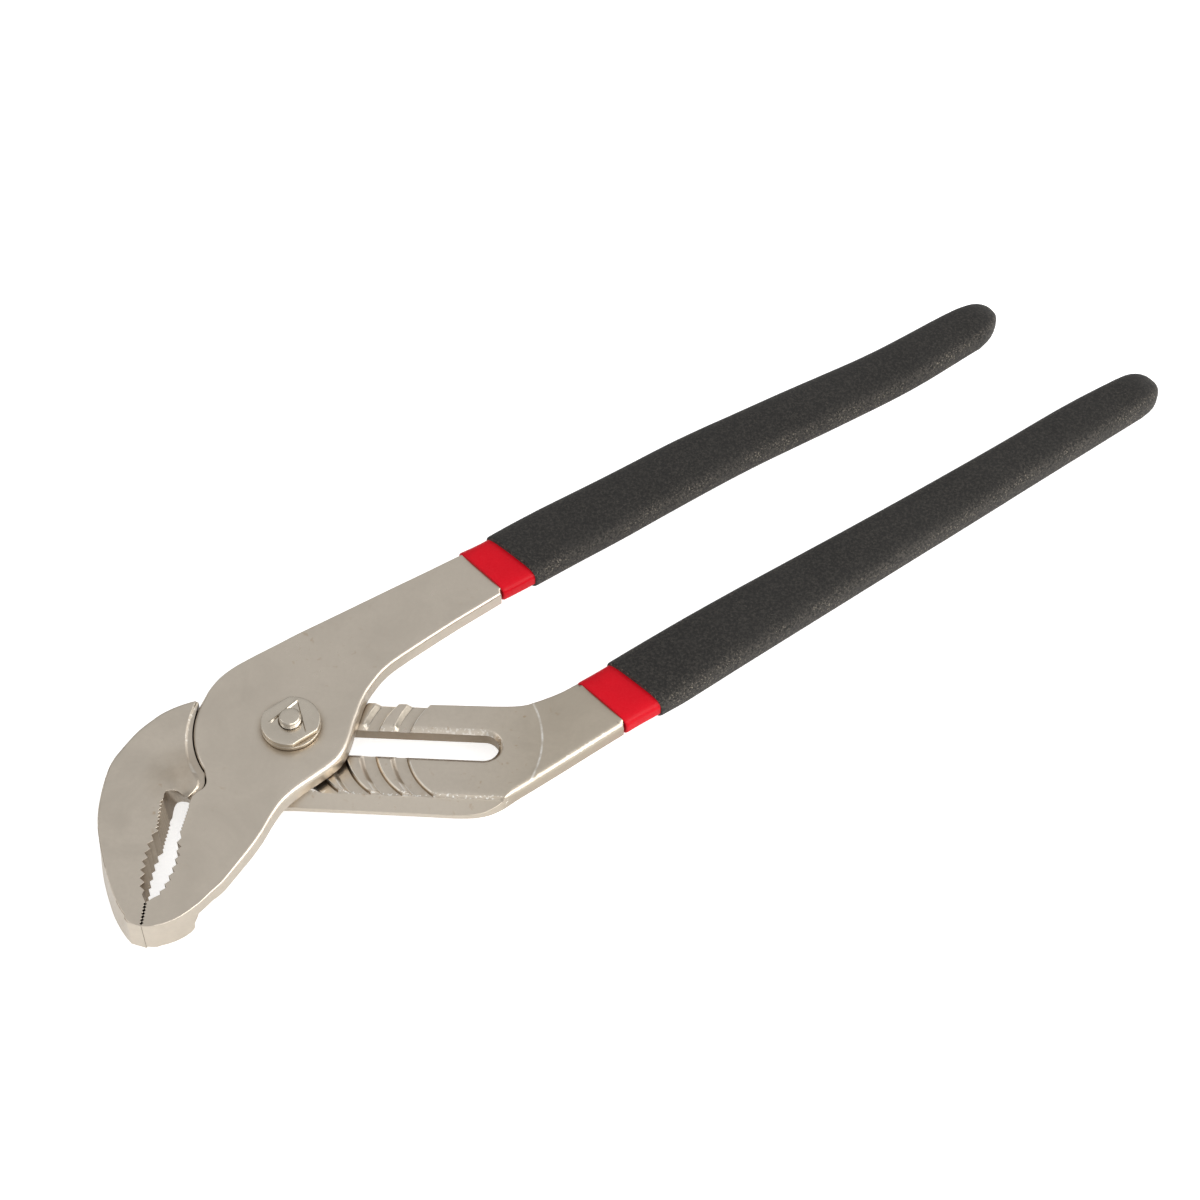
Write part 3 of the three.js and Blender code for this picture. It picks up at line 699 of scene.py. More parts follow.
def painted_edge_highlights(tree, colour, spot):
    """Painted highlights along the slotted half's edges: bright specks and lines where light
    catches them.
    """
    remap, remap_mm = tree.remap, tree.remap_mm

    def off_line(value, place):
        return tree.math("ABSOLUTE", tree.math("SUBTRACT", value, place))

    grains = remap(tree.noise(scale=1500, detail=1, roughness=0.5), span=(0.56, 0.64))
    from_edge = tree.math("ABSOLUTE", tree.math("ADD", spot.y, 14.18 * MM))
    rail_edge = tree.times(
        remap_mm(from_edge, span=(0.22, 0.42), to=(1, 0)),
        remap_mm(spot.x, span=(1, 4)))
    slot_chamfer = tree.times(
        remap(spot.lean_z, span=(0.90, 0.98), to=(1, 0)),
        remap(spot.lean_z, span=(0.40, 0.60)),
        remap_mm(spot.across, span=(5.2, 5.5), to=(0.45, 0)))
    grainy = tree.times(tree.math("MAXIMUM", rail_edge, slot_chamfer), grains)
    from_arc = off_line(tree.distance((*RUNOUT_CENTRE, 7.85)), 25.75 * MM)
    patches = tree.noise(scale=420, detail=3, roughness=0.6)
    runout_line = tree.times(
        remap_mm(from_arc, span=(0.12, 0.34), to=(1, 0)),
        remap_mm(spot.x, span=(50, 54)),
        remap(patches, span=(0.35, 0.6), to=(0.25, 0.9)),
        remap(spot.lean_z, span=(0.7, 0.9)))
    ramp_ends = tree.times(                     # ramps close to the near rail's bevel
        remap(spot.lean_y, span=(0.10, 0.28)),
        remap(spot.lean_z, span=(0.25, 0.5)),
        remap_mm(spot.y, span=(-11.9, -11.1), to=(1, 0)),
        remap_mm(spot.y, span=(-14.3, -13.9)))
    groove_crests = tree.times(
        remap(off_line(spot.past_wall, 0.10), span=(0.12, 0.24), to=(1, 0)),
        remap_mm(spot.across, span=(5.0, 5.6)),
        tree.times(remap_mm(spot.centre_x, span=(-1, 0)),
                   remap_mm(spot.centre_x, span=(45, 46), to=(1, 0))),
        tree.times(remap_mm(spot.y, span=(-13.9, -13.5)),
                   remap_mm(spot.z, span=(6.6, 7.0))),
        remap_mm(spot.z, span=(8.2, 8.6), to=(1, 0)))
    # painted highlights: the edges' colour mixed towards near white
    edge_glints = tree.math("MAXIMUM", tree.math("MAXIMUM", grainy, runout_line),
                     tree.math("MAXIMUM", ramp_ends, groove_crests))
    return tree.mix(tree.times(edge_glints, 0.8), colour, (1.0, 0.98, 0.93))


def throat_painted_shade(tree, colour):
    """Painted shade in the hollow at the throat of the slotted jaw, in patches."""
    radius = 9.5
    close = tree.remap_mm(tree.distance((-24.4, -15.2, 12)), span=(0.25 * radius, radius),
                          to=(1.0, 0.0))
    patches = tree.noise(scale=190, detail=4, roughness=0.6)
    amount = tree.times(close, tree.remap(patches, span=(0.3, 0.65), to=(0.35, 0.90)))
    return tree.darken(amount, colour, tint=(0.78, 0.74, 0.69))


def steel(name, tint, roughness, mottle, grain, shade_reach, shade_alone=False, slotted=False):
    material, tree, surface = new_material(name)
    cloud = tree.noise(scale=70, detail=5, roughness=0.6, distortion=0.6)
    colour = tree.ramp(cloud, [
        (0.30, scaled(tint, 1 - 0.10 * mottle)), (0.52, tint), (0.75, scaled(tint, 1.05))])
    # millimetre mottling
    fine = tree.noise(scale=900, detail=3, roughness=0.6)
    amount = tree.remap(fine, span=(0.3, 0.7), to=(0.0, 0.35 * mottle))
    colour = tree.mix(amount, colour, scaled(tint, 0.90))
    # sparse brownish stains
    spots = tree.noise(scale=520, detail=2, roughness=0.5, distortion=0.3)
    where = tree.noise(scale=60, detail=2, roughness=0.5)
    amount = tree.times(tree.remap(spots, span=(0.64, 0.76)),
                        tree.remap(where, span=(0.50, 0.66), to=(0, 0.5 * mottle)))
    colour = tree.mix(amount, colour, scaled(tint, (0.72, 0.58, 0.42)))
    # brown shade where faces meet
    occlusion = tree.add("AmbientOcclusion")
    occlusion.samples = 8
    occlusion.inputs["Distance"].default_value = shade_reach
    occlusion.only_local = shade_alone
    shade = tree.ramp(occlusion.outputs["AO"], [
        (0.06, (0.14, 0.105, 0.08)), (0.42, (0.50, 0.44, 0.385)),
        (0.74, (0.87, 0.85, 0.82)), (0.96, (1, 1, 1))])
    colour = tree.mix(1.0, colour, shade, "MULTIPLY")
    if slotted:
        # painted shade on the ramps and walls, painted highlights on the edges, painted shade in
        # the throat's hollow
        spot = plate_spot(tree)
        colour = plate_painted_shade(tree, colour, cloud, spot)
        colour = painted_edge_highlights(tree, colour, spot)
        colour = throat_painted_shade(tree, colour)
    tree.feed(surface.inputs["Base Color"], colour)
    surface.inputs["Metallic"].default_value = 1.0
    broad = tree.remap(cloud, span=(0.25, 0.8), to=(roughness + 0.05, roughness - 0.04))
    small = tree.remap(fine, span=(0.3, 0.7), to=(-0.03, 0.05))
    tree.feed(surface.inputs["Roughness"], tree.math("ADD", broad, small))
    tree.relief(surface, [
        (tree.noise(scale=2600, detail=3, roughness=0.65), 0.10 * grain, 0.00006),
        (tree.noise(scale=160, detail=3, roughness=0.5), 0.16 * grain, 0.00025)])
    return material


# ------------------------------------------------------------------ vinyl
def red_vinyl():
    material, tree, surface = new_material("red_dipped_vinyl")
    base = srgb(199, 5, 27)
    cloud = tree.noise(scale=120)
    colour = tree.ramp(cloud, [(0.3, scaled(base, 0.93)), (0.7, scaled(base, 1.05))])
    fine = tree.noise(scale=2200, detail=2, roughness=0.5)
    colour = tree.mix(tree.remap(fine, span=(0.35, 0.75), to=(0, 0.10)), colour,
                      srgb(226, 60, 66))
    for name, value in (
            ("Base Color", colour), ("Specular IOR Level", 0.11),
            ("Roughness", tree.remap(cloud, span=(0.2, 0.8), to=(0.34, 0.44))),
            ("Coat Weight", 0.05), ("Coat Roughness", 0.28)):
        tree.feed(surface.inputs[name], value)
    tree.relief(surface, [
        (tree.noise(scale=1500, detail=2, roughness=0.5), 0.10, 0.00005),
        (tree.noise(scale=140, detail=3, roughness=0.5), 0.25, 0.0002)])
    return material


def black_vinyl():
    material, tree, surface = new_material("black_sandy_vinyl")
    base = srgb(32, 31, 30)
    cloud = tree.noise(scale=55, detail=4, roughness=0.6)
    grain = tree.noise(scale=1500, detail=3, roughness=0.7)
    specks = tree.noise(scale=2300, detail=1, roughness=0.5)
    areas = tree.noise(scale=90, detail=3, roughness=0.6)
    colour = tree.ramp(cloud, [(0.3, scaled(base, 0.85)), (0.7, scaled(base, 1.18))])
    colour = tree.mix(tree.remap(grain, span=(0.45, 0.72), to=(0, 0.5)), colour,
                      srgb(72, 69, 65))
    # the sides are painted paler than the top, as sheen where the light grazes them, and get more
    # of the sandy specks
    normal = tree.add("SeparateXYZ", tree.add("TexCoord").outputs["Normal"])
    flank = tree.remap(normal.outputs["Z"], span=(0.98, 0.62), to=(0.12, 1.0))
    speckle = tree.times(tree.remap(specks, span=(0.58, 0.70)),
                         tree.remap(areas, span=(0.40, 0.62), to=(0.25, 0.95)), flank)
    pale = tree.times(flank, tree.remap(grain, span=(0.35, 0.65), to=(0.0, 0.55)))
    colour = tree.mix(pale, colour, srgb(84, 80, 75))
    colour = tree.mix(speckle, colour, srgb(120, 113, 102))
    for name, value in (
            ("Base Color", colour),
            ("Roughness", tree.remap(grain, span=(0.3, 0.7), to=(0.72, 0.90))),
            ("Specular IOR Level", 0.22), ("Sheen Weight", 0.06), ("Sheen Roughness", 0.5)):
        tree.feed(surface.inputs[name], value)
    tree.relief(surface, [
        (grain, 0.55, 0.00022),
        (tree.noise(scale=110, detail=4, roughness=0.55), 0.35, 0.0004)])
    return material


STEEL_TINT = srgb(207, 197, 183)
TONGUED_STEEL = steel("forged_steel_tongued", STEEL_TINT, roughness=0.31, mottle=0.8, grain=0.8,
                      shade_reach=0.0019)
SLOTTED_STEEL = steel("forged_steel_slotted", STEEL_TINT, roughness=0.32, mottle=1.2, grain=1.5,
                      shade_reach=0.0021, slotted=True)
BOLT_STEEL = steel("bolt_steel", srgb(207, 198, 184), roughness=0.28, mottle=1.3, grain=1.6,
                   shade_reach=0.0014, shade_alone=True)
RED = red_vinyl()
BLACK = black_vinyl()


# ------------------------------------------------------------------ tongued half
# Side of the block under the jaw: (distance inside its edge, height).
BLOCK_SIDE = np.array([
    (0.02, Z_PLATE), (0.30, Z_PLATE - 0.35), (0.42, Z_PLATE - 0.9), (0.50, Z_UNDER + 1.1),
    (0.62, Z_UNDER + 0.55), (0.95, Z_UNDER + 0.12), (1.5, Z_UNDER)])


def tongued_rim():
    teeth = [point for pair in zip(A_GULLETS, A_TIPS) for point in pair]
    points, names = join_outline([
        ("far", spline(A_FAR, 0.8)),
        ("serration", zigzag((-20.8, -23.3), (-21.75, -30.75), pitch=0.86, depth=0.34)),
        ("teeth", teeth),
        ("nose", nose(flat_x=-26.56, cut_x=-26.14, end_y=-56.1)),
        ("near", spline(A_NEAR, 0.8)),
        ("tang", subdivide([handle_point(HANDLE_A, s, t) for s, t in A_TANG], 60))])
    x, y = points.T
    near, far, tang = names == "near", names == "far", names == "tang"
    fine = ~(near | far | tang)
    near_radius = (0.35 + 0.55 * smoothstep(-50, -30, y)
                   + 0.65 * smoothstep(-28, -12, y) * (1 - smoothstep(0, 14, y)))
    boss_radius = 0.35 + 0.45 * smoothstep(12, 2, y) * smoothstep(-16.5, -12, y)
    top_radius = np.select(
        [fine, near & (x < -24.0), tang, far & (y < -19), far & (x < -17), far],
        [0.05, 0.12, 0.7, 0.15, boss_radius, 0.35], near_radius)
    bottom_radius = np.select(
        [fine, tang | (near & (x < -24.0)), near & (y < -46), near], [0.05, 0.6, 0.9, 0.5], 0.3)
    # the boss swells below its top edge until it almost meets the other half's wall
    angle = np.degrees(np.arctan2(y, x)) % 360
    radius = np.hypot(x, y)
    amount = smoothstep(154, 164, angle) * (1 - smoothstep(212.5, 215.5, angle)) * far
    swell = np.clip(23.12 - radius, 0, 1.2) * amount
    points = points * (1 + swell / radius)[:, None]
    top_radius = np.where(swell > 0.02, np.maximum(top_radius, 0.35 + 0.70 * amount), top_radius)
    return Rim(points, top_radius, bottom_radius)


def build_tongued():
    # the jaw is full thickness to the left of this line, on the -X side
    edge = spline(A_BLOCK_EDGE, 0.9)
    normals = left_normals(edge)

    def bottom_height(points):
        return np.interp(line_distance(edge, points)[0], *BLOCK_SIDE.T)

    bottom_lines = [(edge + normals * inward, np.full(len(edge), z)) for inward, z in BLOCK_SIDE]
    bore = arc(NECK_RADIUS, -turn(64))
    grid = staggered_grid((-28, 60), (-58, 62), 4.0)
    body = slab(tongued_rim(), level(Z_TOP), bottom_height, (), bottom_lines, [bore], grid, grid)
    # tongue under the boss
    outline = arc(19.9, np.linspace(196, 222, 17) * DEG)
    outline += arc(17.35, np.linspace(222, 196, 17) * DEG)
    tongue = slab(Rim(outline, 0.05, 0.22), level(8.5), level(Z_PLANE - 0.85),
                  fillet_steps=3, rows=1)
    make("tongued_half_forging", [body, tongue], "tongued_side", TONGUED_STEEL,
         "tongued_half")


# ------------------------------------------------------------------ slotted half
# Radius of the jaw wall's crest and foot round the pivot: angles in degrees, then radii.
CREST_RADII = ([150, 163, 170, 182, 192, 203, 212, 217.5],
               [24.5, 24.35, 24.5, 24.85, 25.2, 25.7, 26.0, 26.05])
FOOT_RADII = ([150, 163, 165, 168, 172, 176, 190, 197, 206, 212, 217.5],
              [24.0, 23.92, 23.85, 23.6, 23.38, 23.28, 23.25, 23.22, 23.20, 23.17, 23.12])
# Where the crest and the foot go on from there, (x, y), matched point for point.
CREST_TAIL = [(-20.15, -16.6), (-19.95, -17.4), (-20.1, -18.4), (-20.6, -19.6), (-21.4, -21.0),
              (-22.0, -23.6), (-22.4, -60)]
FOOT_TAIL = [(-18.3, -15.3), (-18.1, -16.4), (-18.2, -17.6), (-18.9, -18.95), (-19.9, -20.0),
             (-20.9, -21.6), (-21.6, -60)]
# Share of the way from crest to foot, and depth below the jaw's top.
WALL = np.array([
    (0.0, 0.0), (0.06, 0.02), (0.14, 0.10), (0.26, 0.30), (0.36, 0.44), (0.46, 0.52),
    (0.66, 0.60), (0.945, 0.72), (0.97, 1.2), (0.986, 2.2)])
# Radius beyond GROOVE_RADIUS, and depth: the steep wall, the floor and the ramp.
RAMP_END = GROOVE_FLOOR + GROOVE_RAMP
GROOVE_PROFILE = np.array([
    (-0.26, 0.0), (-0.14, 0.04), (-0.05, 0.20), (0.26, 1.02), (0.38, 1.18), (0.54, 1.23),
    (GROOVE_FLOOR - 0.25, 1.20), (GROOVE_FLOOR + 0.02, 1.10),
    (GROOVE_FLOOR + GROOVE_RAMP * 0.5, 0.57), (RAMP_END - 0.15, 0.13), (RAMP_END + 0.15, 0.0)])
# y - BEVEL_Y, and depth.
BEVEL_PROFILE = np.array([
    (0.16, 0.0), (-0.08, 0.14), (-0.50, 1.10), (-0.72, 1.32), (-12, 1.32 + 11.28 * 0.62)])
# Distance from the slot's edge, and depth.
CHAMFER_PROFILE = np.array([(0.0, 1.05), (0.50, 0.56), (0.86, 0.22), (1.10, 0.05), (1.32, 0.0)])
# Hollow across the jaw's top: its line (x, y), depth at each point, and (place, width).
VALLEY = np.array([(-22.9, -19.2), (-23.8, -16.8), (-25.6, -13.8), (-28.6, -10.6),
                   (-32.2, -8.8), (-36.4, -8.9), (-41.0, -10.2)])
VALLEY_DEPTHS = [0.90, 0.72, 0.46, 0.30, 0.20, 0.13, 0.08]
VALLEY_WIDTHS = np.array([(0, 1.7), (2, 2.6), (4, 3.8), (6, 4.5)])
RUNOUT_OFFSETS = (-0.6, -0.06, 0.44)    # from RUNOUT_RADIUS
UNDERCUT = 2.9                          # how far the throat's wall leans in at the bottom


def wall_line(radii, tail):
    angles = np.arange(150, 218, 1.6)
    return np.array([arc(np.interp(a, *radii), [a * DEG])[0] for a in angles] + tail)


CREST, FOOT = wall_line(CREST_RADII, CREST_TAIL), wall_line(FOOT_RADII, FOOT_TAIL)


def slot_distance(points):
    x = np.clip(points[:, 0], SLOT_X0, SLOT_X1)
    return np.hypot(points[:, 0] - x, points[:, 1]) - SLOT_HALF


def groove_depth(points):
    x, y = points.T
    depth = np.zeros(len(points))
    for i in range(POSITIONS):
        centre = i * PITCH
        offset = np.hypot(x - centre, y) - GROOVE_RADIUS
        groove = np.interp(offset, *GROOVE_PROFILE.T, left=0, right=0)
        depth = np.maximum(depth, np.where(x < centre - 4, groove, 0))
    return depth


def bevel_depth(points):
    depth = np.interp(points[:, 1] - BEVEL_Y, *BEVEL_PROFILE[::-1].T)
    return np.where(points[:, 0] < 56, depth, 0)


def chamfer_depth(points):
    return np.interp(slot_distance(points), *CHAMFER_PROFILE.T)


def runout_rise(points):
    offset = np.hypot(points[:, 0] - RUNOUT_CENTRE[0], points[:, 1] - RUNOUT_CENTRE[1])
    rise = np.interp(offset - RUNOUT_RADIUS, RUNOUT_OFFSETS, [0.0, 1.2, 1.0])
    return np.where(points[:, 0] > 45, rise, 0)


def jaw_top(points):
    distance, place = line_distance(VALLEY, points)
    depth = np.interp(place, range(len(VALLEY)), VALLEY_DEPTHS)
    width = np.interp(place, *VALLEY_WIDTHS.T)
    return Z_TOP - depth * np.exp(-(distance / width) ** 2)


def rail_top(points):
    depth = np.maximum(np.maximum(groove_depth(points), bevel_depth(points)),
                       chamfer_depth(points))
    return Z_PLANE - depth + (Z_SLOTTED_TANG - Z_PLANE) * runout_rise(points)


def wall_share(points):
    """0 on the jaw's top, 1 on the sliding plane, and between them inside the wall."""
    past_crest = line_distance(CREST, points)[0]
    to_foot = -line_distance(FOOT, points)[0]
    share = past_crest / np.maximum(past_crest + to_foot, 1e-6)
    share = np.where(past_crest <= 0, 0.0, np.where(to_foot <= 0, 1.0, share))
    return np.where(points[:, 0] < -12, share, 1.0)


def slotted_top(points, share=None):
    if share is None:
        share = wall_share(points)
    low = rail_top(points)
    z = jaw_top(points) - np.interp(share, *WALL.T)
    last = WALL[-1, 0]
    foot = low + (z - low) * (1 - np.clip((share - last) / (1 - last), 0, 1))
    return np.where(share <= last, z, foot)


def slot_loop(offset):
    """Closed anticlockwise line at a distance round the slot."""
    radius = SLOT_HALF + offset
    quarter = math.pi / 2
    right = arc(radius, np.linspace(-quarter, quarter, 20), (SLOT_X1, 0))
    left = arc(radius, np.linspace(quarter, 3 * quarter, 20), (SLOT_X0, 0))
    top = [(x, radius) for x in np.linspace(SLOT_X1, SLOT_X0, 60)[1:-1]]
    bottom = [(x, -radius) for x in np.linspace(SLOT_X0, SLOT_X1, 60)[1:-1]]
    return np.array(right + top + left + bottom + [right[0]])


def groove_lines(centre):
    """Edges of one groove, cut off at the slot's chamfer, the bevel and near the far edge."""
    sections = []                   # (offset, depth, whether it gets arcs)
    for (offset, depth), (next_offset, next_depth) in zip(GROOVE_PROFILE, GROOVE_PROFILE[1:]):
        count = max(1, int(round((next_offset - offset) / 0.55)))
        sections += [(offset + (next_offset - offset) * j / count,
                      depth + (next_depth - depth) * j / count, j == 0) for j in range(count)]
    sections.append((*GROOVE_PROFILE[-1], True))
    lines, ends = [], []
    for offset, depth, has_arcs in sections:
        radius = GROOVE_RADIUS + offset
        bevel_y = BEVEL_Y + np.interp(depth, *BEVEL_PROFILE[:, ::-1].T)
        slot_y = SLOT_HALF + np.interp(depth, *CHAMFER_PROFILE[::-1, ::-1].T)
        ends.append([(centre - math.sqrt(radius * radius - y * y), y)
                     for y in (bevel_y, -slot_y, slot_y)])
        if not has_arcs:
            continue
        for start_y, end_y in ((-slot_y, bevel_y), (slot_y, 12.6)):
            start, end = math.asin(start_y / radius), math.asin(end_y / radius)
            count = max(3, int(abs(end - start) * radius / 0.6))
            line = [(centre - radius * math.cos(a), radius * math.sin(a))
                    for a in np.linspace(start, end, count)]
            lines.append((np.array(line), np.full(count, Z_PLANE - depth)))
    heights = np.array([Z_PLANE - section[1] for section in sections])
    return lines + [(np.array(line), heights) for line in zip(*ends)]


def slotted_lines():
    """Lines (points, heights) that the slotted half's top keeps as edges."""
    lines = []
    for share in [*WALL[:, 0], 1.0]:
        line = CREST + (FOOT - CREST) * share
        lines.append((line, slotted_top(line, np.full(len(line), share))))
    # the slot's chamfer and the bevel are broken where a groove is deeper
    for offset in CHAMFER_PROFILE[1:, 0]:
        line = slot_loop(offset)
        for part in runs_where(line, groove_depth(line) <= chamfer_depth(line) + 0.002):
            lines.append((part, slotted_top(part)))
    for offset, depth in BEVEL_PROFILE[:4]:
        line = np.array([(x, BEVEL_Y + offset) for x in np.arange(-18.0, 53.0, 0.5)])
        for part in runs_where(line, groove_depth(line) <= depth + 0.002):
            lines.append((part, slotted_top(part)))
    for i in range(POSITIONS):
        lines += groove_lines(i * PITCH)
    for offset in RUNOUT_OFFSETS:
        angles = np.linspace(-34 * DEG, 34 * DEG, 44)
        line = np.array(arc(RUNOUT_RADIUS + offset, angles, RUNOUT_CENTRE))
        lines.append((line, rail_top(line)))
    return lines


def slotted_rim():
    points, names = join_outline([
        ("far", spline(B_FAR, 0.8)),
        ("nose", nose(flat_x=-26.60, cut_x=-27.04, end_y=-56.2)[::-1]),
        ("teeth", subdivide(B_TEETH, 9)),
        ("serration", zigzag((-26.8, -30.8), (-27.0, -22.0), pitch=0.98, depth=0.62)),
        ("throat", spline(B_THROAT, 0.45)),
        ("near", spline(B_NEAR, 0.8)),
        ("tang", subdivide([handle_point(HANDLE_B, s, t) for s, t in B_TANG], 60))])
    x, y = points.T
    far, near, throat, tang, serration = (
        names == name for name in ("far", "near", "throat", "tang", "serration"))
    top_radius = np.select(
        [near & (x < -14), near, throat, tang, serration,
         far & (y < -30), far & (x < -20), far],
        [0.2, 0.35 + 1.4 * smoothstep(50.5, 54.5, x), 0.10, 0.9, 0.12,
         0.30, 0.35 + 0.35 * smoothstep(-22, -34, x), 0.35], 0.05)
    bottom_radius = np.select(
        [near & (x < -14), near, tang, throat, far & (y < -50), far],
        [0.2, 0.6 + 0.5 * smoothstep(50, 55, x), 0.8, 0.1, 1.3, 0.7], 0.05)
    top_inset = np.select([far & (y < -54.3), far & (y < -20)],
                          [0.55, 1.05 * smoothstep(-24, -40, y)], 0.0)
    bottom_inset = np.select(
        [throat, near & (x < -10) & (y < -12), serration],
        [UNDERCUT * smoothstep(-27.05, -26.5, x), UNDERCUT * (1 - smoothstep(-21.3, -17.5, x)),
         -0.45 * smoothstep(-30.5, -22.5, y)], 0.0)
    rim = Rim(points, top_radius, bottom_radius, top_inset, bottom_inset)
    # the throat's -X corner leans straight back under the jaw, not across it
    offset = np.c_[0.72 * (1 - smoothstep(-26.3, -24.2, x)),
                   UNDERCUT * np.clip((y + 22.0) / 2.4, 0, 1)]
    leaning = throat & (x < -24.2)
    size = np.linalg.norm(offset, axis=1)
    rim.normals = np.where(leaning[:, None], offset / size[:, None].clip(1e-6), rim.normals)
    rim.bottom_inset = np.where(leaning, size, rim.bottom_inset)
    return rim


def build_slotted():
    end_steps = range(24)
    hole = arc(SLOT_HALF, [(90 - 180 * i / 23) * DEG for i in end_steps], (SLOT_X1, 0))
    hole += [(x, -SLOT_HALF) for x in np.linspace(SLOT_X1, SLOT_X0, 60)[1:-1]]
    hole += arc(SLOT_HALF, [(270 - 180 * i / 23) * DEG for i in end_steps], (SLOT_X0, 0))
    hole += [(x, SLOT_HALF) for x in np.linspace(SLOT_X0, SLOT_X1, 60)[1:-1]]

    def bottom_height(points):
        return Z_UNDER + np.interp(slot_distance(points), [0, SLOT_LOW_CHAMFER],
                                   [SLOT_LOW_CHAMFER, 0])

    # outer edge of the chamfer round the slot's underside
    quarter, radius = math.pi / 2, SLOT_HALF + SLOT_LOW_CHAMFER
    low = arc(radius, np.linspace(-quarter, quarter, 20), (SLOT_X1, 0))
    low += arc(radius, np.linspace(quarter, 3 * quarter, 20), (SLOT_X0, 0))
    low = subdivide(low + [low[0]], 1.2)
    top_grid = (staggered_grid((-43, -17), (-30, 9), 0.8)
                + staggered_grid((-43, -20), (-57, -30), 2.4)
                + staggered_grid((-17, 80), (-20, 22), 1.6))
    body = slab(slotted_rim(), slotted_top, bottom_height, slotted_lines(),
                [(low, np.full(len(low), Z_UNDER))], [hole],
                top_grid, staggered_grid((-43, 80), (-57, 22), 4.0))
    make("slotted_half_forging", [body], "slotted_side", SLOTTED_STEEL,
         "slotted_half")


# ------------------------------------------------------------------ bolt and nut
def bridge(first, second):
    """Quads between two rings of vertex indices."""
    return [(first[i], first[j], second[j], second[i]) for i, j in ring_pairs(len(first))]


def revolve(profile, segments):
    """Closed surface of revolution about Z. The profile (radius, z) starts and ends on the axis."""
    verts, faces, rings = [], [], []
    for radius, z in profile:
        if radius < 1e-6:
            rings.append([len(verts)] * segments)
            verts.append((0, 0, z))
        else:
            rings.append(range(len(verts), len(verts) + segments))
            verts += [(x, y, z) for x, y in arc(radius, turn(segments))]
    for first, second in zip(rings[:-1], rings[1:]):
        # at the axis a quad shrinks to a triangle
        faces += [tuple(dict.fromkeys(quad)) for quad in bridge(first, second)]
    return verts, faces


def threaded_stud(radius, bottom, top, pitch, depth, segments=72):
    """A stud with a helical thread and a flat end with a chamfer."""
    def radius_at(z):
        return radius if z < top - 0.37 else radius - 0.34 * (z - top + 0.37) / 0.36

    heights = list(np.arange(bottom, top - 0.70, pitch / 10))
    heights += [top - drop for drop in (0.66, 0.5, 0.40, 0.36, 0.05, 0.01)]
    angles = turn(segments)
    verts = []
    for z in heights:
        fade = 1 - float(smoothstep(top - 0.85, top - 0.55, z))
        for i, angle in enumerate(angles):
            phase = (z / pitch - i / segments) % 1
            cut = depth * fade * (0.5 - 0.5 * math.cos(2 * math.pi * phase)) ** 0.8
            here = radius_at(z) - cut
            verts.append((here * math.cos(angle), here * math.sin(angle), z))
    for share, rise in ((0.95, 0.02), (0.6, 0.05)):     # slightly domed end
        end_ring = arc(radius_at(heights[-1]) * share, angles)
        verts += [(x, y, top + rise) for x, y in end_ring]
    rings = [range(k, k + segments) for k in range(0, len(verts), segments)]
    faces = []
    for first, second in zip(rings[:-1], rings[1:]):
        faces += bridge(first, second)
    tip, base = len(verts), len(verts) + 1
    verts += [(0, 0, top + 0.06), (0, 0, bottom)]
    faces += [(rings[-1][i], rings[-1][j], tip) for i, j in ring_pairs(segments)]
    faces += [(rings[0][j], rings[0][i], base) for i, j in ring_pairs(segments)]
    return verts, faces


def build_bolt():
    head = revolve([(0, 0.05), (1.4, 0.03), (2.2, 0.0), (5.55, 0.0), (5.85, 0.05), (6.15, 0.22),
                    (6.3, 0.55), (6.3, 2.2), (6.2, 2.42), (5.95, 2.56), (5.6, 2.6), (0, 2.6)], 72)
    # a round neck with flats at +Y and -Y
    limit = math.asin(3.35 / NECK_RADIUS)
    outline = arc(NECK_RADIUS, np.linspace(-limit, limit, 14))
    outline += arc(NECK_RADIUS, np.linspace(math.pi - limit, math.pi + limit, 14))
    neck = slab(Rim(outline, 0.15, 0.05), level(Z_PLANE - 0.1), level(2.3),
                fillet_steps=3, rows=1)
    shoulder = revolve([(0, 7.0), (3.4, 7.0), (3.4, 11.7), (3.1, 12.0), (0, 12.0)], 48)
    stud = threaded_stud(radius=2.6, bottom=11.4, top=16.5, pitch=0.62, depth=0.26)
    make("pivot_bolt_turned", [head, neck, shoulder, stud], "pivot", BOLT_STEEL,
         "pivot_bolt", angle=38)


NUT_BOTTOM, NUT_TOP = 12.25, 14.75
NUT_RADIUS, NUT_UPPER_RADIUS = 7.12, 7.03
NUT_FLAT, NUT_FLAT_ANGLE = 6.10, -49 * DEG      # distance and direction of the partial flats
NUT_BORE_EDGE = 2.95                            # outer radius of the bore's chamfer
# Chisel marks on top, a raised burr and a cut: start, end, height, half width.
CHISEL_MARKS = [
    (np.array((-4.95, -1.15)), np.array((0.95, 5.75)), 0.30, 0.36),
    (np.array((0.95, 5.75)), np.array((3.95, -3.0)), -0.14, 0.13)]


def nut_top(points):
    z = np.full(len(points), NUT_TOP)
    for start, end, height, width in CHISEL_MARKS:
        distance, place = line_distance(np.array([start, end]), points)
        fade = np.interp(place, [0, 0.06, 0.97, 1], [0, 1, 1, 0.6])
        z = z + height * fade * np.clip(1 - np.abs(distance) / width, 0, 1)
    radius = np.hypot(points[:, 0], points[:, 1])
    return z - np.interp(radius, [NUT_BORE, NUT_BORE_EDGE], [0.22, 0.0])


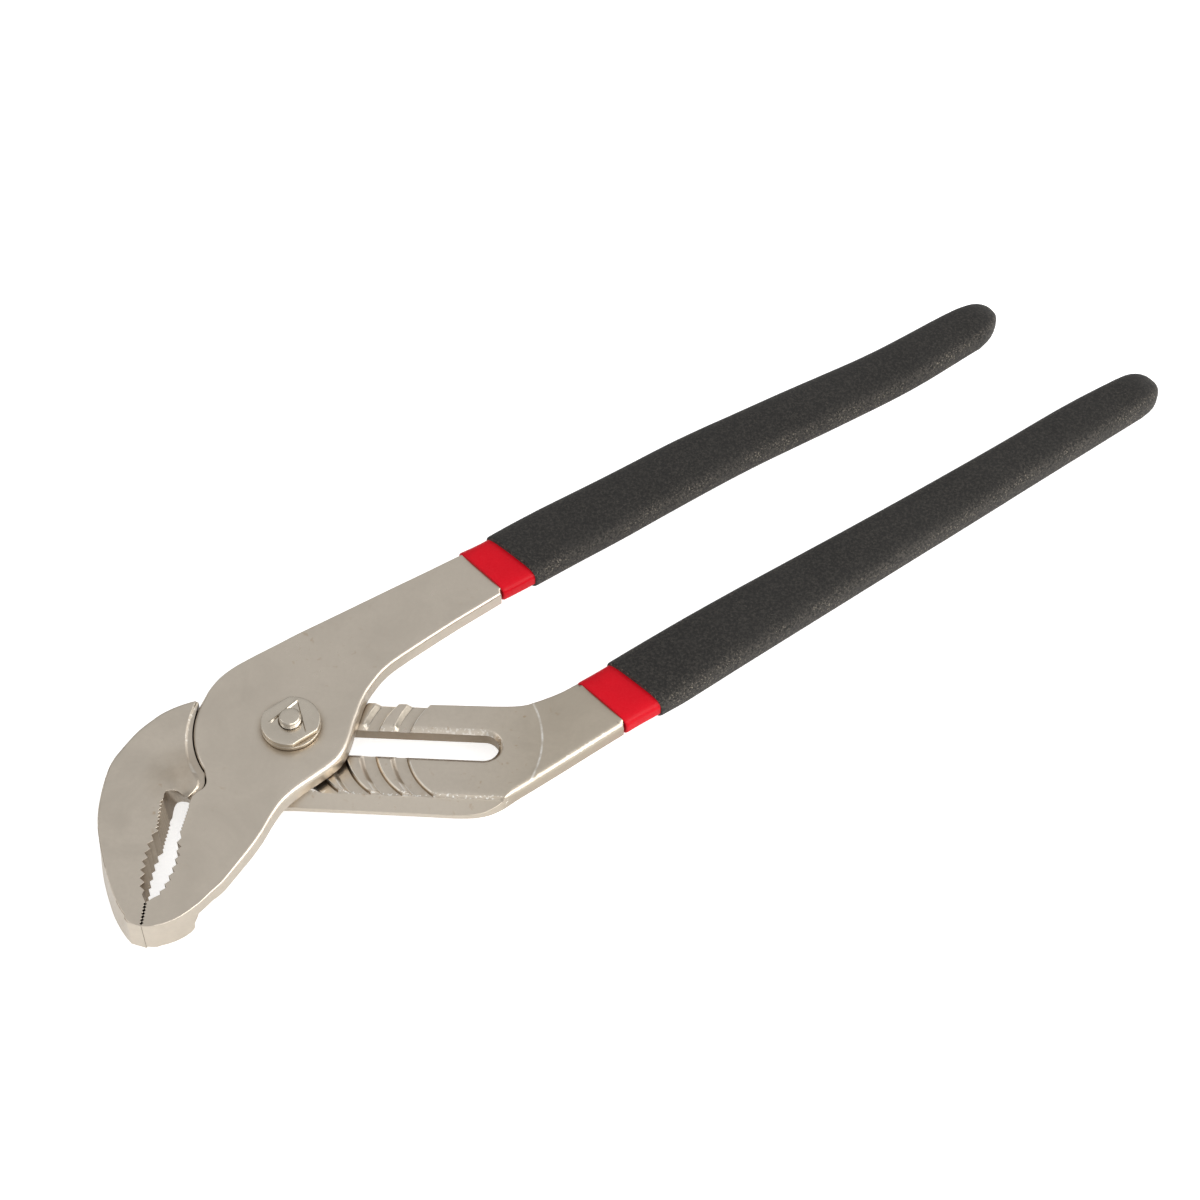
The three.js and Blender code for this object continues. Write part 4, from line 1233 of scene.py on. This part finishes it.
def build_nut():
    """A low round nut with two partial flats in its upper layer."""
    outline = []
    for angle in turn(180):
        facing = abs(math.cos(angle - NUT_FLAT_ANGLE))
        cut = facing * NUT_UPPER_RADIUS > NUT_FLAT
        outline += arc(NUT_FLAT / facing if cut else NUT_UPPER_RADIUS, [angle])
    bore = arc(NUT_BORE, -turn(60))
    lines = []
    for start, end, _, width in CHISEL_MARKS:
        along = (end - start) / np.linalg.norm(end - start)
        left = np.array([-along[1], along[0]])
        for offset in (-width, 0, width):
            line = subdivide([start + left * offset + along * 0.02,
                              end + left * offset - along * 0.02], 0.5)
            for part in runs_where(line, np.hypot(line[:, 0], line[:, 1]) > 2.74):
                lines.append((part, nut_top(part)))
    ring = np.array(arc(NUT_BORE_EDGE, np.linspace(0, 2 * math.pi, 61)))
    lines.append((ring, nut_top(ring)))
    upper = slab(Rim(outline, 0.32, 0.0), nut_top, level(NUT_TOP - 1.35), lines, (), [bore],
                 staggered_grid((-7, 7), (-7, 7), 0.7), fillet_steps=4, rows=2)
    lower = slab(Rim(arc(NUT_RADIUS, turn(120)), 0.16, 0.25), level(NUT_TOP - 1.28),
                 level(NUT_BOTTOM), holes=[bore], fillet_steps=3, rows=2)
    make("pivot_nut_staked", [upper, lower], "pivot", BOLT_STEEL, "pivot_nut",
         angle=38)


# ------------------------------------------------------------------ handle coverings
def softened(stations, values, places):
    """Values between the stations, with the corners averaged out."""
    fine = np.arange(stations[0] - 6, stations[-1] + 6, 1.0)
    weights = np.array([1, 2, 3, 4, 3, 2, 1], float)
    weights /= weights.sum()
    padded = np.pad(np.interp(fine, stations, values), 3, mode="edge")
    return np.interp(places, fine, np.convolve(padded, weights, mode="valid"))


def covering_rows(stations, end, cap_rows=9):
    """Rows (s, near t, far t, share of full height) from the start to the very end."""
    table = np.array(stations, float)
    places = np.arange(table[0, 0], table[-1, 0] + 0.01, 2.0)
    near = softened(table[:, 0], table[:, 1], places)
    far = softened(table[:, 0], table[:, 2], places)
    cap_start = table[-1, 0]
    cap = spline([(cap_start, near[-1])] + end + [(cap_start, far[-1])], 0.4)
    apex = int(np.argmax(cap[:, 0]))
    near_side, far_side = cap[:apex + 1], cap[apex:][::-1]
    length = cap[apex, 0] - cap_start
    rows = [(s, low, high, 1.0) for s, low, high in zip(places, near, far)]
    for k in range(1, cap_rows + 1):
        s = cap_start + length * math.sin(k / cap_rows * math.pi / 2) * 0.999
        edges = [float(np.interp(s, np.maximum.accumulate(side[:, 0]), side[:, 1]))
                 for side in (near_side, far_side)]
        height = math.sqrt(max(0.0, 1 - ((s - cap_start) / length) ** 2.2))
        rows.append((s, *edges, height))
    return np.array(rows)


def covering(handle, middle_z, stations, end, start, thickness, inset, power, lip, under,
             stop=None, around=56):
    """A closed sock round the handle. Its end by the jaws is slanted and has a rounded lip.

    start is that end's s at the near and far edges, power the squareness of the section,
    under how much narrower it gets past the lip, stop the last s of the rows kept."""
    lead = (-18, stations[0][1] - 0.3, stations[0][2] + 0.5)
    rows = covering_rows([lead] + stations, end)
    if stop:
        rows = rows[rows[:, 0] <= stop]
    start_s, slant = (start[0] + start[1]) / 2, (start[0] - start[1]) / 2
    # each row is (s, near t, far t, height, how far it sinks in at the lip)
    full_rows = []
    for advance, sink in ((0.0, lip * 2.2), (0.0, lip * 1.05), (0.05, lip * 0.62),
                          (0.18, lip * 0.25), (0.38, lip * 0.05), (0.8, 0.0)):
        s = start_s + advance
        edges = [float(np.interp(s, rows[:, 0], rows[:, k])) for k in (1, 2)]
        full_rows.append((s, *edges, 1.0, sink))
    full_rows += [(*row, 0.0) for row in rows if row[0] > start_s + 1.2]
    verts = []
    for s, near, far, height, sink in full_rows:
        narrowing = inset + sink + under * float(smoothstep(9, 18, s))
        low, high = near + narrowing, far - narrowing
        if high - low < 0.2:
            centre = (near + far) / 2
            low, high = centre - 0.1, centre + 0.1
        half, centre = (high - low) / 2, (high + low) / 2
        half_z = max(0.05, (thickness / 2 - (inset + sink) * 0.9) * height)
        decay = float(1 - smoothstep(start_s + 2, start_s + 34, s))
        for angle in turn(around):
            cos, sin = math.cos(angle), math.sin(angle)
            side = math.copysign(abs(cos) ** (2 / power), cos)
            rise = math.copysign(abs(sin) ** (2 / power), sin)
            x, y = handle_point(handle, s + slant * side * decay, centre + half * side)
            verts.append((x, y, middle_z + half_z * rise))
    rings = [range(k, k + around) for k in range(0, len(verts), around)]
    faces = []
    for first, second in zip(rings[:-1], rings[1:]):
        faces += bridge(first, second)
    for ring, step in ((rings[0], -1), (rings[-1], 1)):
        tip = len(verts)
        verts.append(tuple(np.mean([verts[i] for i in ring], axis=0)))
        faces += [(*(ring[i], ring[j])[::step], tip) for i, j in ring_pairs(around)]
    return verts, faces


SLEEVE = dict(inset=0.45, power=3.6, lip=0.30, under=0.95, stop=40)
GRIP = dict(inset=0.0, power=3.0, lip=0.34, under=0.0)


def build_handles():
    tongued = (HANDLE_A, (Z_PLATE + Z_TOP) / 2, GRIP_A, GRIP_A_END)
    slotted = (HANDLE_B, (Z_UNDER + Z_SLOTTED_TANG) / 2, GRIP_B, GRIP_B_END)
    # each covering is (start, thickness)
    for half, shape, sleeve, grip in (
            ("tongued", tongued, ((-1.4, 1.8), 6.7), ((6.8, 11.0), 8.4)),
            ("slotted", slotted, ((-1.2, 1.1), 7.3), ((7.9, 11.1), 9.0))):
        make(half + "_handle_red_sleeve", [covering(*shape, *sleeve, **SLEEVE)],
             half + "_side", RED, half + "_handle_sleeve", angle=50)
        make(half + "_handle_black_grip", [covering(*shape, *grip, **GRIP)],
             half + "_side", BLACK, half + "_handle_grip", angle=50)


build_tongued()
build_slotted()
build_bolt()
build_nut()
build_handles()


# ------------------------------------------------------------------ floor, light, camera (m)
def build_floor():
    """White paper, brighter to the camera than to the piece and clear from below."""
    half = 6.0
    mesh = bpy.data.meshes.new("floor")
    corners = [(-half, -half, 0), (half, -half, 0), (half, half, 0), (-half, half, 0)]
    mesh.from_pydata(corners, [], [(0, 1, 2, 3)])
    sheet = bpy.data.objects.new("floor", mesh)
    sheet.location = (0, 0, -0.0003)
    bpy.context.scene.collection.objects.link(sheet)
    material = bpy.data.materials.new("floor_paper")
    material.use_nodes = True
    tree = Nodes(material.node_tree)
    output = tree.add("OutputMaterial")
    # emissions take a colour and a strength
    diffuse = tree.result("BsdfDiffuse", (0.80, 0.80, 0.80))
    bright = tree.result("AddShader", diffuse, tree.result("Emission", (1, 1, 1), 0.66))
    dim = tree.result("AddShader", diffuse, tree.result("Emission", (0.97, 0.96, 0.94), 0.26))
    to_camera = tree.add("LightPath").outputs["Is Camera Ray"]
    paper = tree.result("MixShader", to_camera, dim, bright)
    from_below = tree.add("NewGeometry").outputs["Backfacing"]
    clear = tree.result("BsdfTransparent")
    tree.feed(output.inputs[0], tree.result("MixShader", from_below, paper, clear))
    mesh.materials.append(material)


def build_world():
    """A studio sky, brighter overhead and dimmer to the far side. The camera sees plain white."""
    world = bpy.data.worlds.new("studio")
    bpy.context.scene.world = world
    world.use_nodes = True
    tree = Nodes(world.node_tree)
    output = tree.add("OutputWorld")
    direction = tree.add("SeparateXYZ", tree.add("TexCoord").outputs["Generated"]).outputs
    sky = tree.ramp(tree.remap(direction["Z"], span=(-0.2, 1.0)),
                    [(0.0, 0.30), (0.22, 0.34), (0.55, 0.64), (0.80, 0.74), (1.0, 0.80)])
    side = tree.ramp(tree.remap(direction["Y"], span=(-1.0, 1.0)),
                     [(0.0, 1.0), (0.5, 0.98), (0.80, 0.96), (1.0, 0.70)])
    studio = tree.result("Background", tree.mix(1.0, sky, side, "MULTIPLY"), 1.0)
    white = tree.result("Background", (1, 1, 1), 1.0)
    to_camera = tree.add("LightPath").outputs["Is Camera Ray"]
    tree.feed(output.inputs[0], tree.result("MixShader", to_camera, studio, white))


def area_light(name, location, size_x, size_y, power, color):
    """A rectangular light aimed at the middle of the pliers."""
    light = bpy.data.lights.new(name, "AREA")
    light.energy = power
    light.color = color
    light.shape = "RECTANGLE"
    light.size = size_x
    light.size_y = size_y
    lamp = bpy.data.objects.new(name, light)
    bpy.context.scene.collection.objects.link(lamp)
    lamp.location = location
    lamp.rotation_mode = "QUATERNION"
    aim = Vector((0.08, 0.04, 0.0)) - Vector(location)
    lamp.rotation_quaternion = aim.to_track_quat("-Z", "Y")


def build_camera():
    lens = bpy.data.cameras.new("camera")
    lens.lens = 78.0
    lens.sensor_width = 36.0
    lens.sensor_fit = "HORIZONTAL"
    lens.clip_start = 0.01
    lens.clip_end = 50
    camera = bpy.data.objects.new("camera", lens)
    bpy.context.scene.collection.objects.link(camera)
    right = Vector((0.99863, 0.05234, 0.0)).normalized()
    forward = Vector((-0.0325, 0.6203, -0.7837)).normalized()
    up = right.cross(forward).normalized()
    place = (0.09143, -0.35328, 0.511375)
    rows = [(right[i], up[i], -forward[i], place[i]) for i in range(3)]
    camera.matrix_world = Matrix((*rows, (0, 0, 0, 1)))
    bpy.context.scene.camera = camera


build_floor()
build_world()
area_light("window", (1.44, -0.34, 0.80), size_x=1.8, size_y=1.1, power=22, color=(1, 0.99, 0.965))
area_light("window_back", (1.05, 0.95, 0.50), size_x=0.95, size_y=0.7, power=1.9,
           color=(1, 0.99, 0.97))
area_light("front", (0.55, -1.35, 0.75), size_x=0.9, size_y=0.5, power=4.5, color=(1, 0.985, 0.96))
area_light("left", (-1.5, -0.2, 1.0), size_x=1.0, size_y=1.0, power=4, color=(1, 1, 1))
build_camera()
bpy.context.scene.view_settings.view_transform = "Standard"

bpy.context.view_layer.update()
